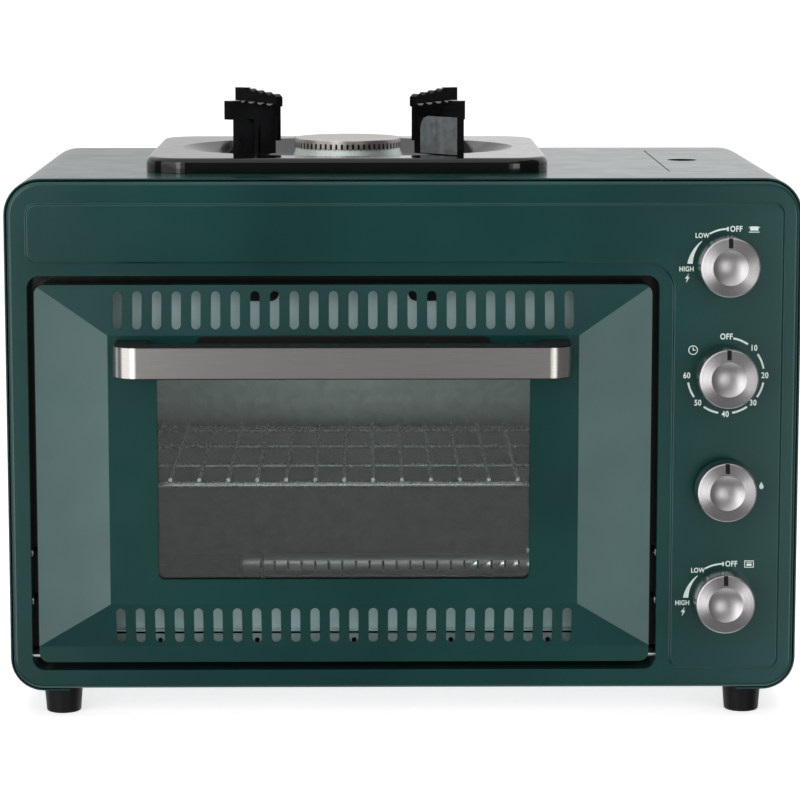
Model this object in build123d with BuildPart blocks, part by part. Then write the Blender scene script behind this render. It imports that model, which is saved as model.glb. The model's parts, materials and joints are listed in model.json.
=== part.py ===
from build123d import *
import os

# Portable camp oven: a sheet steel oven with a drop-down door, and a gas stove burner on its top
# Sizes are in millimetres, X runs to the right, Y to the back and Z up from the table
# A height is measured from the body's underside, a depth from the fascia's front face

# Body
body_width = 500.0
body_height = 327.0
body_depth = 285.0
top_corner_radius = 23.0
bottom_corner_radius = 21.0
steel = 1.0
shell_setback = 3.0
underside_flange = 16.0

# Feet
foot_height = 18.5
foot_top_radius = 12.5
foot_bottom_radius = 11.0
foot_edge_radius = 1.2
foot_bore_depth = 9.25
foot_from_side = 31.0
foot_from_front = 28.0
foot_screw_radius = 2.0
foot_screw_head_radius = 4.2
foot_screw_head = 2.4

# Fascia
fascia_inset = 1.9
fascia_flange = 12.0
fascia_edge_radius = 2.6
panel_rise = 2.0
panel_edge_radius = 0.95
panel_foot_radius = 0.95
panel_from_left = 14.3
panel_from_right = 12.0
panel_from_top = 15.9
panel_bar_height = 36.4
panel_column_from_right = 80.3
panel_bottom = 15.0
panel_corner_radius = 6.5
panel_inner_radius = 18.0

# Door recess in the fascia and the door that fills it
recess_from_left = 14.0
recess_from_right = 89.2
recess_bottom = 13.9
recess_from_top = 60.8
recess_corner_radius = 8.0
recess_depth = 18.6
recess_screw_heights = (56.7, 87.7)
recess_screw_depth = 11.0
recess_screw_radius = 2.6
recess_screw_head = 1.6
recess_screw_edge_radius = 0.6
door_side_gap = 4.6
door_top_gap = 5.7
door_bottom_gap = 5.3
door_depth = 18.0
door_corner_radius = 6.0
door_rise = 8.0
door_foot_strip = 10.1
door_bevel_side = 46.2
door_bevel_top = 31.0
door_bevel_bottom = 28.8
door_fold_radius = 1.6
inner_panel_bottom = 36.6
inner_panel_flange = 7.0
inner_window_margin = 8.0
inner_notch_radius = 9.0
inner_notch_from_middle = 49.4

# Slots in the door's upper and lower bevels
slot_count = 24
slot_end_margin = 6.15
slot_width = 5.8
slot_length = 23.5

# Window
window_side_margin = 30.6
window_top_margin = 15.5
window_bottom_margin = 16.1
window_corner_radius = 3.8
glass_thickness = 4.0
glass_margin = 11.0
clip_width = 14.0
clip_reach = 7.0

# Handle
handle_end_margin = 5.1
handle_height = 18.8
handle_reach = 44.0
handle_thickness = 18.0
handle_end_radius = 15.0
handle_skin = 1.0
handle_from_flat_top = 12.8
handle_core_lip = 0.8
handle_post_length = 20.0
handle_screw_radius = 2.0
handle_screw_length = 12.0
handle_screw_head_radius = 3.0
handle_screw_head = 1.8
trim_length = 184.0
trim_height = 13.0
trim_from_flat_top = 7.0
trim_thickness = 1.2
trim_corner_radius = 4.3

# Door hinge
hinge_height = 22.0
hinge_depth = 6.0
hinge_pin_radius = 1.5
hinge_bracket_size = 16.0
hinge_bracket_thickness = 2.0
hinge_bracket_corner_radius = 2.0
hinge_bracket_setback = 4.0
hinge_pin_inside_door = 5.0

# Oven liner, rack and runners
liner_width = 300.0
liner_bottom = 36.0
liner_below_recess_top = 21.2
liner_from_back = 13.0
liner_corner_radius = 12.0
frame_overlap = 8.0
frame_right_reach = 2.0
rack_height = 129.0
rack_front_depth = 30.0
rack_from_back = 23.0
rack_frame_wire = 4.0
rack_wire = 2.6
rack_wire_count = 15
rack_wire_pitch = 18.55
rack_cross_from_back = (14.0, 84.0, 164.0)
rack_corner_radius = 9.0
rack_side_gap = 1.5
weld_sink = 0.3
rack_wire_overhang = 1.5
runner_reach = 9.0
runner_opening = 8.0

# Stove burner on the top and its drip pan
burner_x = -35.5
burner_depth = 154.0
burner_cap_radius = 35.5
burner_cap_top = 16.1
burner_cap_height = 6.4
burner_cap_dish = 1.6
burner_cap_edge_radius = 0.8
burner_cap_rim = 2.0
burner_slot_count = 60
burner_slot_width = 1.5
burner_slot_height = 3.6
burner_slot_depth = 3.0
burner_base_radius = 37.5
burner_neck_radius = 24.0
burner_skirt_height = 8.0
burner_base_drop = 34.0
burner_tube_radius = 9.0
burner_tube_drop = 25.0
burner_tube_end = 108.0
burner_flare_height = 1.6
burner_strap_width = 30.0
burner_strap_reach = 56.0
burner_strap_thickness = 1.5
pan_width = 258.0
pan_depth = 224.0
pan_height = 9.7
pan_sheet = 0.8
pan_corner_radius = 26.0
pan_edge_radius = 3.5
bowl_width = 221.0
bowl_length = 182.0
bowl_drop = 8.6
bowl_slope = 20.0
pan_hole_gap = 0.8

# Pot supports, one at each corner: the left pair has a narrow cheek, the right pair a wide one
# A cheek and a post run from one place to another along the bar, counted from its middle outwards
support_out = 60.5
support_back = 76.0
support_shift = -1.4
support_length = 41.6
support_width = 5.8
support_inner_top = 39.8
support_outer_top = 45.0
support_block_height = 12.0
support_flat = 9.5
support_teeth = 4
support_tooth_radius = 3.4
support_tooth_rise = 1.4
support_plate = 1.6
support_post_thickness = 3.8
support_narrow_cheek = (-3.9, 13.2)
support_narrow_post = (-20.0, -6.4)
support_wide_cheek = (-14.7, 19.8)
support_wide_post = (-20.0, -16.2)
support_cheek_corner = 9.0

# Gas cartridge bay, its lid and hinge
lid_width = 78.0
lid_front_depth = 59.0
lid_length = 194.0
lid_gap = 0.8
lid_side_drop = 40.0
lid_lip = 7.0
lid_hole_radius = 10.0
lid_hole_from_edge = 17.5
lid_hole_depth = 162.0
lid_curl_radius = 2.6
lid_pin_radius = 1.5
bay_width = 74.5
bay_from_right = 7.0
bay_drop = 81.0
bay_corner_radius = 24.0
bay_wall = 0.8
cartridge_radius = 35.0

# Controls
knob_from_right = 47.2
stove_knob_from_top = 54.1
timer_knob_from_top = 124.0
safety_button_from_top = 195.8
oven_knob_height = 59.8
knob_base_radius = 19.2
knob_face_radius = 18.6
knob_reach = 22.0
knob_dish_radius = 11.0
knob_dish_depth = 2.6
knob_ring_fall = 1.8
knob_edge_radius = 1.0
knob_index_width = 2.8
knob_index_length = 6.3
knob_index_depth = 2.6
safety_travel = 5.0
stem_radius = 3.9
stem_in_knob = 14.0
stem_behind = 16.0
stem_hole_radius = 5.0
tap_radius = 12.0
tap_length = 26.0
timer_size = 46.0
timer_corner_radius = 5.0
timer_length = 34.0
safety_valve_radius = 11.0
safety_valve_length = 44.0
mount_plate_width = 44.0
mount_plate_height = 18.0
mount_plate_thickness = 1.5
mount_plate_corner_radius = 3.0

# Gas regulator, pipes and the oven's burner
regulator_radius = 26.0
regulator_length = 21.0
regulator_edge_radius = 4.0
pipe_radius = 3.0
pipe_wall = 0.7
pipe_bend = 12.0
small_pipe_bend = 5.0
supply_pipe_from_right = 10.0
supply_pipe_depth = 41.0
link_pipe_depth = 18.0
stove_pipe_depth = 30.0
stove_pipe_from_partition = 15.0
oven_burner_depth = 150.0
oven_burner_height = 53.0
oven_burner_radius = 7.0
oven_burner_end_radius = 2.3
oven_burner_left = -109.0
oven_burner_port_count = 22
oven_burner_port_width = 1.6
partition_from_right = 87.0
probe_from_burner = 16.0
probe_above_burner = 6.0
rod_radius = 1.6
rod_length = 26.0
ceramic_radius = 3.4
ceramic_length = 14.0

# Clearances
running_gap = 0.3
pin_clearance = 0.05
seat_gap = 0.2

# Rear panel and base plate
vent_count = 14
vent_pitch = 16.0
vent_width = 4.0
vent_length = 34.0
vent_row_from_edge = 78.5
rear_screw_from_corner = 39.0
rear_screw_spread = 100.0
rear_screw_edge_radius = 1.0
rear_screw_head_radius = 3.6
rear_screw_head = 2.0
rear_screw_inset = 12.0

# Places worked out from the sizes above
whole_depth = handle_reach + body_depth + rear_screw_head
front_y = handle_reach - whole_depth / 2
half_width = body_width / 2
recess_left = recess_from_left - half_width
recess_right = half_width - recess_from_right
recess_top = body_height - recess_from_top
door_left = recess_left + door_side_gap
door_right = recess_right - door_side_gap
door_bottom = recess_bottom + door_bottom_gap
door_top = recess_top - door_top_gap
door_x = (door_left + door_right) / 2
flat_left = door_left + door_bevel_side
flat_right = door_right - door_bevel_side
flat_top = door_top - door_bevel_top
bevel_bottom = door_bottom + door_foot_strip
flat_bottom = bevel_bottom + door_bevel_bottom
window_left = flat_left + window_side_margin
window_right = flat_right - window_side_margin
window_bottom = flat_bottom + window_bottom_margin
window_top = flat_top - window_top_margin
window_middle = (window_bottom + window_top) / 2
slot_pitch = (flat_right - flat_left - 2 * slot_end_margin) / (slot_count - 1)
handle_length = flat_right - flat_left - 2 * handle_end_margin
handle_middle_height = flat_top - handle_from_flat_top
trim_middle_height = flat_top - trim_from_flat_top
liner_left = door_x - liner_width / 2
liner_right = door_x + liner_width / 2
liner_top = recess_top - liner_below_recess_top
liner_front_depth = recess_depth + steel
liner_back_depth = body_depth - liner_from_back
rack_back_depth = body_depth - rack_from_back
partition_x = half_width - partition_from_right
lid_left = half_width - lid_width
lid_back_depth = lid_front_depth + lid_length
lid_hinge_x = half_width - lid_curl_radius
lid_hinge_height = body_height - lid_side_drop
bay_front_depth = lid_front_depth - lid_gap
bay_back_depth = lid_back_depth + lid_gap
bay_right = half_width - bay_from_right
bay_left = bay_right - bay_width
bay_floor = body_height - bay_drop
bay_x = (bay_left + bay_right) / 2
knob_x = half_width - knob_from_right
stove_knob_height = body_height - stove_knob_from_top
timer_knob_height = body_height - timer_knob_from_top
safety_button_height = body_height - safety_button_from_top
pan_top = body_height + pan_height


def facing_front(depth):
    """An upright plane facing the front: its own X is X, its own Y is height."""
    return Plane(origin=(0, front_y + depth, foot_height), x_dir=(1, 0, 0), z_dir=(0, -1, 0))


def level(height):
    """A level plane facing up: its own X is X, its own Y is depth."""
    return Plane(origin=(0, front_y, foot_height + height), x_dir=(1, 0, 0), z_dir=(0, 0, 1))


def side_on(x):
    """An upright plane facing the right: its own X is depth, its own Y is height."""
    return Plane(origin=(x, front_y, foot_height), x_dir=(0, 1, 0), z_dir=(1, 0, 0))


def place(x, depth, height):
    """A point by its X, its depth behind the fascia and its height above the underside."""
    return Vector(x, front_y + depth, foot_height + height)


def body_outline(inset):
    """The body seen from the front, drawn in by an inset all round."""
    with BuildSketch() as outline:
        Rectangle(body_width - 2 * inset, body_height - 2 * inset)
        fillet(outline.vertices().group_by(Axis.Y)[-1], top_corner_radius - inset)
        fillet(outline.vertices().group_by(Axis.Y)[0], bottom_corner_radius - inset)
    return outline.sketch


def box_outline(left, right, bottom, top, radius):
    """An upright rectangle with rounded corners, given by its four sides."""
    with BuildSketch() as outline:
        with Locations(((left + right) / 2, (bottom + top) / 2)):
            RectangleRounded(right - left, top - bottom, radius)
    return outline.sketch


def finish(piece, name):
    """Label a finished piece and write it to its own file."""
    piece.part.label = name
    export_step(piece.part, f"parts/{name}.step")


os.makedirs("parts", exist_ok=True)

body_line = body_outline(0)
body_inner_line = body_outline(steel)
body_middle = (0, body_height / 2)

# Outer shell: one sheet bent over the top and sides and turned under at both lower edges
with BuildPart() as outer_shell:
    with BuildSketch(facing_front(shell_setback)):
        with Locations(body_middle):
            add(body_line)
            add(body_inner_line, mode=Mode.SUBTRACT)
    extrude(amount=-(body_depth - shell_setback))
    underside_opening = body_width - 2 * (bottom_corner_radius + underside_flange)
    with BuildSketch(level(0)):
        with Locations((0, body_depth / 2)):
            Rectangle(underside_opening, body_depth)
    extrude(amount=steel, mode=Mode.SUBTRACT)
    with BuildSketch(level(body_height)):
        with Locations((burner_x, burner_depth)):
            Circle(burner_base_radius + 2 * pan_hole_gap)
    extrude(amount=-steel, mode=Mode.SUBTRACT)
    opening_left = lid_left - lid_gap
    opening_width = half_width - opening_left
    with BuildSketch(level(body_height)):
        with Locations((opening_left + opening_width / 2, lid_front_depth + lid_length / 2)):
            Rectangle(opening_width, lid_length + 2 * lid_gap)
    extrude(amount=-(lid_side_drop + lid_curl_radius + 2 * running_gap), mode=Mode.SUBTRACT)
finish(outer_shell, "outer_shell")

# Front fascia: a pressed sheet with a raised L-shaped panel and a deep recess for the door
fascia_line = body_outline(fascia_inset)
fascia_inner_line = body_outline(fascia_inset + steel)
recess_line = box_outline(recess_left, recess_right, recess_bottom, recess_top, recess_corner_radius)
recess_outer_line = box_outline(
    recess_left - steel,
    recess_right + steel,
    recess_bottom - steel,
    recess_top + steel,
    recess_corner_radius + steel,
)
panel_left = -half_width + panel_from_left
panel_right = half_width - panel_from_right
panel_top = body_height - panel_from_top
panel_bar_bottom = panel_top - panel_bar_height
panel_column_left = half_width - panel_column_from_right
with BuildPart() as front_fascia:
    with BuildSketch(facing_front(0)):
        with Locations(body_middle):
            add(fascia_line)
    extrude(amount=-fascia_flange)
    fillet(front_fascia.faces().sort_by(Axis.Y)[0].edges(), fascia_edge_radius)
    with BuildSketch(facing_front(0)) as panel_sketch:
        with BuildLine():
            Polyline(
                (panel_left, panel_top),
                (panel_right, panel_top),
                (panel_right, panel_bottom),
                (panel_column_left, panel_bottom),
                (panel_column_left, panel_bar_bottom),
                (panel_left, panel_bar_bottom),
                close=True,
            )
        make_face()
        inner_corner = panel_sketch.vertices().sort_by_distance((panel_column_left, panel_bar_bottom))[0]
        outer_corners = [corner for corner in panel_sketch.vertices() if corner != inner_corner]
        fillet(outer_corners, panel_corner_radius)
        inner_corner = panel_sketch.vertices().sort_by_distance((panel_column_left, panel_bar_bottom))[0]
        fillet(inner_corner, panel_inner_radius)
    extrude(amount=panel_rise)
    fillet(front_fascia.faces().sort_by(Axis.Y)[0].edges(), panel_edge_radius)
    fascia_face = front_fascia.faces().filter_by(Axis.Y).group_by(Axis.Y)[1][0]
    fillet(fascia_face.inner_wires()[0].edges(), panel_foot_radius)
    with BuildSketch(facing_front(steel)):
        with Locations(body_middle):
            add(fascia_inner_line)
    extrude(amount=-fascia_flange, mode=Mode.SUBTRACT)
    with BuildSketch(facing_front(steel)):
        add(recess_outer_line)
    extrude(amount=-(recess_depth - steel))
    with BuildSketch(facing_front(-panel_rise)):
        add(recess_line)
    extrude(amount=-(recess_depth + panel_rise), mode=Mode.SUBTRACT)
    with BuildSketch(facing_front(-panel_rise)):
        for knob_height in (stove_knob_height, timer_knob_height, safety_button_height, oven_knob_height):
            with Locations((knob_x, knob_height)):
                Circle(stem_hole_radius)
    extrude(amount=-(panel_rise + steel), mode=Mode.SUBTRACT)
    with BuildSketch(side_on(recess_left - steel)):
        with Locations((hinge_depth, hinge_height)):
            Circle(hinge_pin_radius)
    extrude(amount=recess_right - recess_left + 2 * steel, mode=Mode.SUBTRACT)
finish(front_fascia, "front_fascia")

# Door hinge: a bracket behind each side wall of the recess holds a pin that the door turns on
with BuildPart() as hinge_brackets:
    for side, wall_x in ((-1, recess_left - steel), (1, recess_right + steel)):
        with BuildSketch(side_on(wall_x)):
            with Locations((hinge_depth + hinge_bracket_setback, hinge_height)):
                RectangleRounded(hinge_bracket_size, hinge_bracket_size, hinge_bracket_corner_radius)
            with Locations((hinge_depth, hinge_height)):
                Circle(hinge_pin_radius, mode=Mode.SUBTRACT)
        extrude(amount=side * hinge_bracket_thickness)
finish(hinge_brackets, "hinge_brackets")

with BuildPart() as hinge_pins:
    pin_length = steel + hinge_bracket_thickness + door_side_gap + hinge_pin_inside_door
    for side, start_x in (
        (1, recess_left - steel - hinge_bracket_thickness),
        (-1, recess_right + steel + hinge_bracket_thickness),
    ):
        with BuildSketch(side_on(start_x)):
            with Locations((hinge_depth, hinge_height)):
                Circle(hinge_pin_radius)
        extrude(amount=side * pin_length)
finish(hinge_pins, "hinge_pins")

# Screws in the recess, two on each side wall
with BuildPart() as recess_screws:
    for side, wall_x in ((1, recess_left), (-1, recess_right)):
        for screw_height in recess_screw_heights:
            with BuildSketch(side_on(wall_x)):
                with Locations((recess_screw_depth, screw_height)):
                    Circle(recess_screw_radius)
            extrude(amount=side * recess_screw_head)
    fillet(recess_screws.edges().filter_by(GeomType.CIRCLE).group_by(Axis.X)[1], recess_screw_edge_radius)
    fillet(recess_screws.edges().filter_by(GeomType.CIRCLE).group_by(Axis.X)[-2], recess_screw_edge_radius)
finish(recess_screws, "recess_screws")

# Rear panel, let into the shell's back, with two rows of vent slots
with BuildPart() as rear_panel:
    with BuildSketch(facing_front(body_depth)):
        with Locations(body_middle):
            add(body_inner_line)
    extrude(amount=steel)
    with BuildSketch(facing_front(body_depth)):
        with Locations(body_middle):
            with GridLocations(vent_pitch, body_height - 2 * vent_row_from_edge, vent_count, 2):
                SlotOverall(vent_length, vent_width, rotation=90)
    extrude(amount=steel, mode=Mode.SUBTRACT)
finish(rear_panel, "rear_panel")

rear_screw_x = half_width - rear_screw_inset
rear_edge_heights = (rear_screw_inset, body_height - rear_screw_inset)
rear_side_heights = (rear_screw_from_corner, body_height / 2, body_height - rear_screw_from_corner)
rear_side_places = [(side * rear_screw_x, height) for side in (-1, 1) for height in rear_side_heights]
rear_edge_places = [(side * rear_screw_spread, height) for side in (-1, 1) for height in rear_edge_heights]
rear_screw_places = rear_side_places + rear_edge_places
with BuildPart() as rear_screws:
    with BuildSketch(facing_front(body_depth)):
        with Locations(rear_screw_places):
            Circle(rear_screw_head_radius)
    extrude(amount=-rear_screw_head)
    fillet(rear_screws.faces().sort_by(Axis.Y)[-len(rear_screw_places):].edges(), rear_screw_edge_radius)
finish(rear_screws, "rear_screws")

# Base plate, laid on the shell's turned-under flanges, with its own vent slots
base_plate_width = body_width - 2 * (bottom_corner_radius + seat_gap)
with BuildPart() as base_plate:
    with BuildSketch(level(steel)):
        with Locations((0, (fascia_flange + body_depth) / 2)):
            Rectangle(base_plate_width, body_depth - fascia_flange - 3 * steel)
        with Locations((burner_x, burner_depth)):
            with GridLocations(vent_pitch, vent_length * 2, vent_count, 2):
                SlotOverall(vent_length, vent_width, rotation=90, mode=Mode.SUBTRACT)
    extrude(amount=steel)
finish(base_plate, "base_plate")

# Feet: four tapered feet, each held by a screw from below
foot_x = half_width - foot_from_side
foot_screw_seat = foot_bore_depth - foot_height
foot_places = [
    (side * foot_x, depth) for side in (-1, 1) for depth in (foot_from_front, body_depth - foot_from_front)
]
with BuildPart() as feet:
    for foot_place in foot_places:
        with BuildSketch(level(0)):
            with Locations(foot_place):
                Circle(foot_top_radius)
        with BuildSketch(level(-foot_height)):
            with Locations(foot_place):
                Circle(foot_bottom_radius)
        loft()
    fillet(feet.faces().filter_by(Axis.Z).group_by(Axis.Z)[0].edges(), foot_edge_radius)
    with BuildSketch(level(-foot_height)):
        with Locations(foot_places):
            Circle(foot_screw_head_radius + running_gap)
    extrude(amount=foot_bore_depth, mode=Mode.SUBTRACT)
    with BuildSketch(level(foot_screw_seat)):
        with Locations(foot_places):
            Circle(foot_screw_radius)
    extrude(amount=-foot_screw_seat, mode=Mode.SUBTRACT)
finish(feet, "feet")

with BuildPart() as foot_screws:
    with BuildSketch(level(foot_screw_seat)):
        with Locations(foot_places):
            Circle(foot_screw_radius)
    extrude(amount=-foot_screw_seat)
    with BuildSketch(level(foot_screw_seat)):
        with Locations(foot_places):
            Circle(foot_screw_head_radius)
    extrude(amount=-foot_screw_head)
finish(foot_screws, "foot_screws")

# Places of the spark electrode and the thermocouple, each as a depth and a height
electrode_place = (oven_burner_depth - probe_from_burner, oven_burner_height + probe_above_burner)
thermocouple_place = (oven_burner_depth + probe_from_burner, oven_burner_height + probe_above_burner)

# Front frame: a black enamelled plate that closes the door recess round the liner's mouth
liner_line = box_outline(liner_left, liner_right, liner_bottom, liner_top, liner_corner_radius)
frame_line = box_outline(
    recess_left - frame_overlap,
    recess_right + frame_right_reach,
    recess_bottom - frame_overlap,
    recess_top + frame_overlap,
    recess_corner_radius,
)
with BuildPart() as front_frame:
    with BuildSketch(facing_front(recess_depth)):
        add(frame_line)
        add(liner_line, mode=Mode.SUBTRACT)
    extrude(amount=-steel)
finish(front_frame, "front_frame")

# Oven liner: a drawn box behind the frame, open at its front
liner_outer_line = box_outline(
    liner_left - steel,
    liner_right + steel,
    liner_bottom - steel,
    liner_top + steel,
    liner_corner_radius + steel,
)
with BuildPart() as oven_liner:
    with BuildSketch(facing_front(liner_front_depth)):
        add(liner_outer_line)
    extrude(amount=-(liner_back_depth + steel - liner_front_depth))
    with BuildSketch(facing_front(liner_front_depth)):
        add(liner_line)
    extrude(amount=-(liner_back_depth - liner_front_depth), mode=Mode.SUBTRACT)
    with BuildSketch(side_on(liner_right - steel)):
        with Locations((oven_burner_depth, oven_burner_height)):
            Circle(oven_burner_radius + pin_clearance)
        with Locations(electrode_place, thermocouple_place):
            Circle(ceramic_radius + pin_clearance)
    extrude(amount=2 * steel, mode=Mode.SUBTRACT)
finish(oven_liner, "oven_liner")

# Rack runners: a folded channel on each side wall of the liner
runner_floor = rack_height - rack_frame_wire / 2 - running_gap
runner_length = rack_back_depth - rack_front_depth + rack_frame_wire
with BuildPart() as rack_runners:
    for side, wall_x in ((1, liner_left), (-1, liner_right)):
        with BuildSketch(facing_front(rack_front_depth)):
            with BuildLine():
                Polyline(
                    (wall_x, runner_floor - steel),
                    (wall_x + side * runner_reach, runner_floor - steel),
                    (wall_x + side * runner_reach, runner_floor),
                    (wall_x + side * steel, runner_floor),
                    (wall_x + side * steel, runner_floor + runner_opening),
                    (wall_x + side * runner_reach, runner_floor + runner_opening),
                    (wall_x + side * runner_reach, runner_floor + runner_opening + steel),
                    (wall_x, runner_floor + runner_opening + steel),
                    close=True,
                )
            make_face()
        extrude(amount=-runner_length)
finish(rack_runners, "rack_runners")

# Oven rack: a bent wire frame, cross wires level with it, and long wires welded on its top
frame_half_width = liner_width / 2 - steel - rack_side_gap - rack_frame_wire / 2
long_wire_height = rack_height + (rack_frame_wire + rack_wire) / 2 - weld_sink
rack_x = (liner_left + liner_right) / 2
with BuildPart() as oven_rack:
    with BuildLine(level(rack_height)) as frame_half:
        FilletPolyline(
            (rack_x, rack_front_depth),
            (rack_x + frame_half_width, rack_front_depth),
            (rack_x + frame_half_width, rack_back_depth),
            (rack_x, rack_back_depth),
            radius=rack_corner_radius,
        )
    with BuildSketch(Plane(origin=frame_half.line @ 0, z_dir=frame_half.line % 0)):
        Circle(rack_frame_wire / 2)
    sweep()
    mirror(about=Plane.YZ.offset(rack_x))
    with BuildSketch(facing_front(rack_front_depth - rack_wire_overhang)):
        with Locations((rack_x, long_wire_height)):
            with GridLocations(rack_wire_pitch, 0, rack_wire_count, 1):
                Circle(rack_wire / 2)
    extrude(amount=-(rack_back_depth - rack_front_depth + 2 * rack_wire_overhang))
    cross_half_width = frame_half_width - rack_wire / 4
    with BuildSketch(side_on(rack_x - cross_half_width)):
        for cross_depth in rack_cross_from_back:
            with Locations((rack_back_depth - cross_depth, rack_height + (rack_frame_wire - rack_wire) / 2)):
                Circle(rack_wire / 2)
    extrude(amount=2 * cross_half_width)
finish(oven_rack, "oven_rack")

# Door front panel: a shallow box whose face rises in four bevels to a flat around the window
door_line = box_outline(door_left, door_right, door_bottom, door_top, door_corner_radius)
door_inner_line = box_outline(
    door_left + steel,
    door_right - steel,
    door_bottom + steel,
    door_top - steel,
    door_corner_radius - steel,
)
window_line = box_outline(window_left, window_right, window_bottom, window_top, window_corner_radius)
flat_x = (flat_left + flat_right) / 2
flat_height = (flat_bottom + flat_top) / 2
bevel_height = (bevel_bottom + door_top) / 2
slot_row_heights = ((flat_top + door_top) / 2, (bevel_bottom + flat_bottom) / 2)
handle_post_x = handle_length / 2 - handle_skin - handle_post_length / 2
handle_screw_places = [(door_x + side * handle_post_x, handle_middle_height) for side in (-1, 1)]
with BuildPart() as door_front_panel:
    with BuildSketch(facing_front(0)):
        with Locations((door_x, bevel_height)):
            Rectangle(door_right - door_left, door_top - bevel_bottom)
    with BuildSketch(facing_front(-door_rise)):
        with Locations((flat_x, flat_height)):
            Rectangle(flat_right - flat_left, flat_top - flat_bottom)
    loft()
    fold_edges = door_front_panel.edges().filter_by(Axis.X, reverse=True).filter_by(Axis.Z, reverse=True)
    flat_edges = door_front_panel.faces().sort_by(Axis.Y)[0].edges()
    fillet(fold_edges + flat_edges, door_fold_radius)
    with BuildSketch(facing_front(0)):
        with Locations((door_x, (door_bottom + door_top) / 2)):
            Rectangle(door_right - door_left, door_top - door_bottom)
    extrude(amount=-door_depth)
    with BuildSketch(facing_front(-door_rise)):
        add(door_line)
    extrude(amount=-(door_rise + door_depth), mode=Mode.INTERSECT)
    with BuildSketch(facing_front(steel)):
        add(door_inner_line)
    extrude(amount=-(door_depth - steel), mode=Mode.SUBTRACT)
    with BuildSketch(facing_front(steel)):
        with Locations((door_x, bevel_height)):
            Rectangle(door_right - door_left - 2 * door_corner_radius, door_top - bevel_bottom - 2 * steel)
    with BuildSketch(facing_front(steel - door_rise)):
        with Locations((flat_x, flat_height)):
            Rectangle(flat_right - flat_left, flat_top - flat_bottom)
    loft(mode=Mode.SUBTRACT)
    with BuildSketch(facing_front(-door_rise)):
        add(window_line)
        with Locations(handle_screw_places):
            Circle(handle_screw_radius + running_gap)
        for row_height in slot_row_heights:
            with Locations((door_x, row_height)):
                with GridLocations(slot_pitch, 0, slot_count, 1):
                    SlotOverall(slot_length, slot_width, rotation=90)
    extrude(amount=-(door_rise + 2 * steel), mode=Mode.SUBTRACT)
    for wall_x in (door_left, door_right - door_corner_radius):
        with BuildSketch(side_on(wall_x)):
            with Locations((hinge_depth, hinge_height)):
                Circle(hinge_pin_radius + pin_clearance)
        extrude(amount=door_corner_radius, mode=Mode.SUBTRACT)
finish(door_front_panel, "door_front_panel")

# Door inner panel: a tray of bare steel behind the slots, with two finger notches in its top edge
inner_panel_line = box_outline(
    door_left + steel + seat_gap,
    door_right - steel - seat_gap,
    inner_panel_bottom,
    door_top - steel - seat_gap,
    door_corner_radius - steel,
)
inner_tray_line = box_outline(
    door_left + 2 * steel + seat_gap,
    door_right - 2 * steel - seat_gap,
    inner_panel_bottom + steel,
    door_top - 2 * steel - seat_gap,
    door_corner_radius - 2 * steel,
)
inner_window_line = box_outline(
    window_left - inner_window_margin,
    window_right + inner_window_margin,
    window_bottom - inner_window_margin,
    window_top + inner_window_margin,
    window_corner_radius + inner_window_margin,
)
with BuildPart() as door_inner_panel:
    with BuildSketch(facing_front(door_depth)):
        add(inner_panel_line)
        with Locations((door_x, door_top)):
            with GridLocations(2 * inner_notch_from_middle, 0, 2, 1):
                Circle(inner_notch_radius, mode=Mode.SUBTRACT)
    extrude(amount=inner_panel_flange)
    with BuildSketch(facing_front(door_depth - steel)):
        add(inner_tray_line)
    extrude(amount=inner_panel_flange - steel, mode=Mode.SUBTRACT)
    with BuildSketch(facing_front(door_depth)):
        add(inner_window_line)
    extrude(amount=steel, mode=Mode.SUBTRACT)
finish(door_inner_panel, "door_inner_panel")

# Screws that hold the inner panel's flanges to the front panel's side walls
panel_screw_heights = (80.0, 140.0, 200.0)
panel_screw_depth = door_depth - inner_panel_flange / 2
panel_screw_radius = 1.5
with BuildPart() as door_panel_screws:
    for side, wall_x in ((1, door_left + 2 * steel + seat_gap), (-1, door_right - 2 * steel - seat_gap)):
        for screw_height in panel_screw_heights:
            with BuildSketch(side_on(wall_x)):
                with Locations((panel_screw_depth, screw_height)):
                    Circle(panel_screw_radius)
            extrude(amount=side * steel)
finish(door_panel_screws, "door_panel_screws")

# Door glass behind the flat, and the clips that hold it
glass_front = steel - door_rise
glass_line = box_outline(
    window_left - glass_margin,
    window_right + glass_margin,
    window_bottom - glass_margin,
    window_top + glass_margin,
    window_corner_radius,
)
with BuildPart() as door_glass:
    with BuildSketch(facing_front(glass_front)):
        add(glass_line)
    extrude(amount=-glass_thickness)
finish(door_glass, "door_glass")

with BuildPart() as glass_clips:
    for side in (-1, 1):
        edge_x = door_x + side * ((window_right - window_left) / 2 + glass_margin + seat_gap)
        glass_back = glass_front + glass_thickness
        for clip_height in (window_bottom, window_middle, window_top - 2 * clip_width):
            with BuildSketch(level(clip_height)):
                with BuildLine():
                    Polyline(
                        (edge_x + side * clip_reach, glass_front),
                        (edge_x, glass_front),
                        (edge_x, glass_back),
                        (edge_x - side * clip_reach, glass_back),
                        (edge_x - side * clip_reach, glass_back + steel),
                        (edge_x + side * steel, glass_back + steel),
                        (edge_x + side * steel, glass_front + steel),
                        (edge_x + side * clip_reach, glass_front + steel),
                        close=True,
                    )
                make_face()
            extrude(amount=clip_width)
finish(glass_clips, "glass_clips")

# Handle: a stainless strip bent round a moulded core, which reaches back to the door at both ends
handle_back = handle_thickness - handle_reach
handle_bottom = handle_middle_height - handle_height / 2


def handle_plan(inset):
    """The handle bar seen from above, with its front corners rounded."""
    front = inset - handle_reach
    with BuildSketch() as plan:
        with Locations((door_x, (front + handle_back) / 2)):
            Rectangle(handle_length - 2 * inset, handle_back - front)
        fillet(plan.vertices().group_by(Axis.Y)[0], handle_end_radius - inset)
    return plan.sketch


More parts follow.
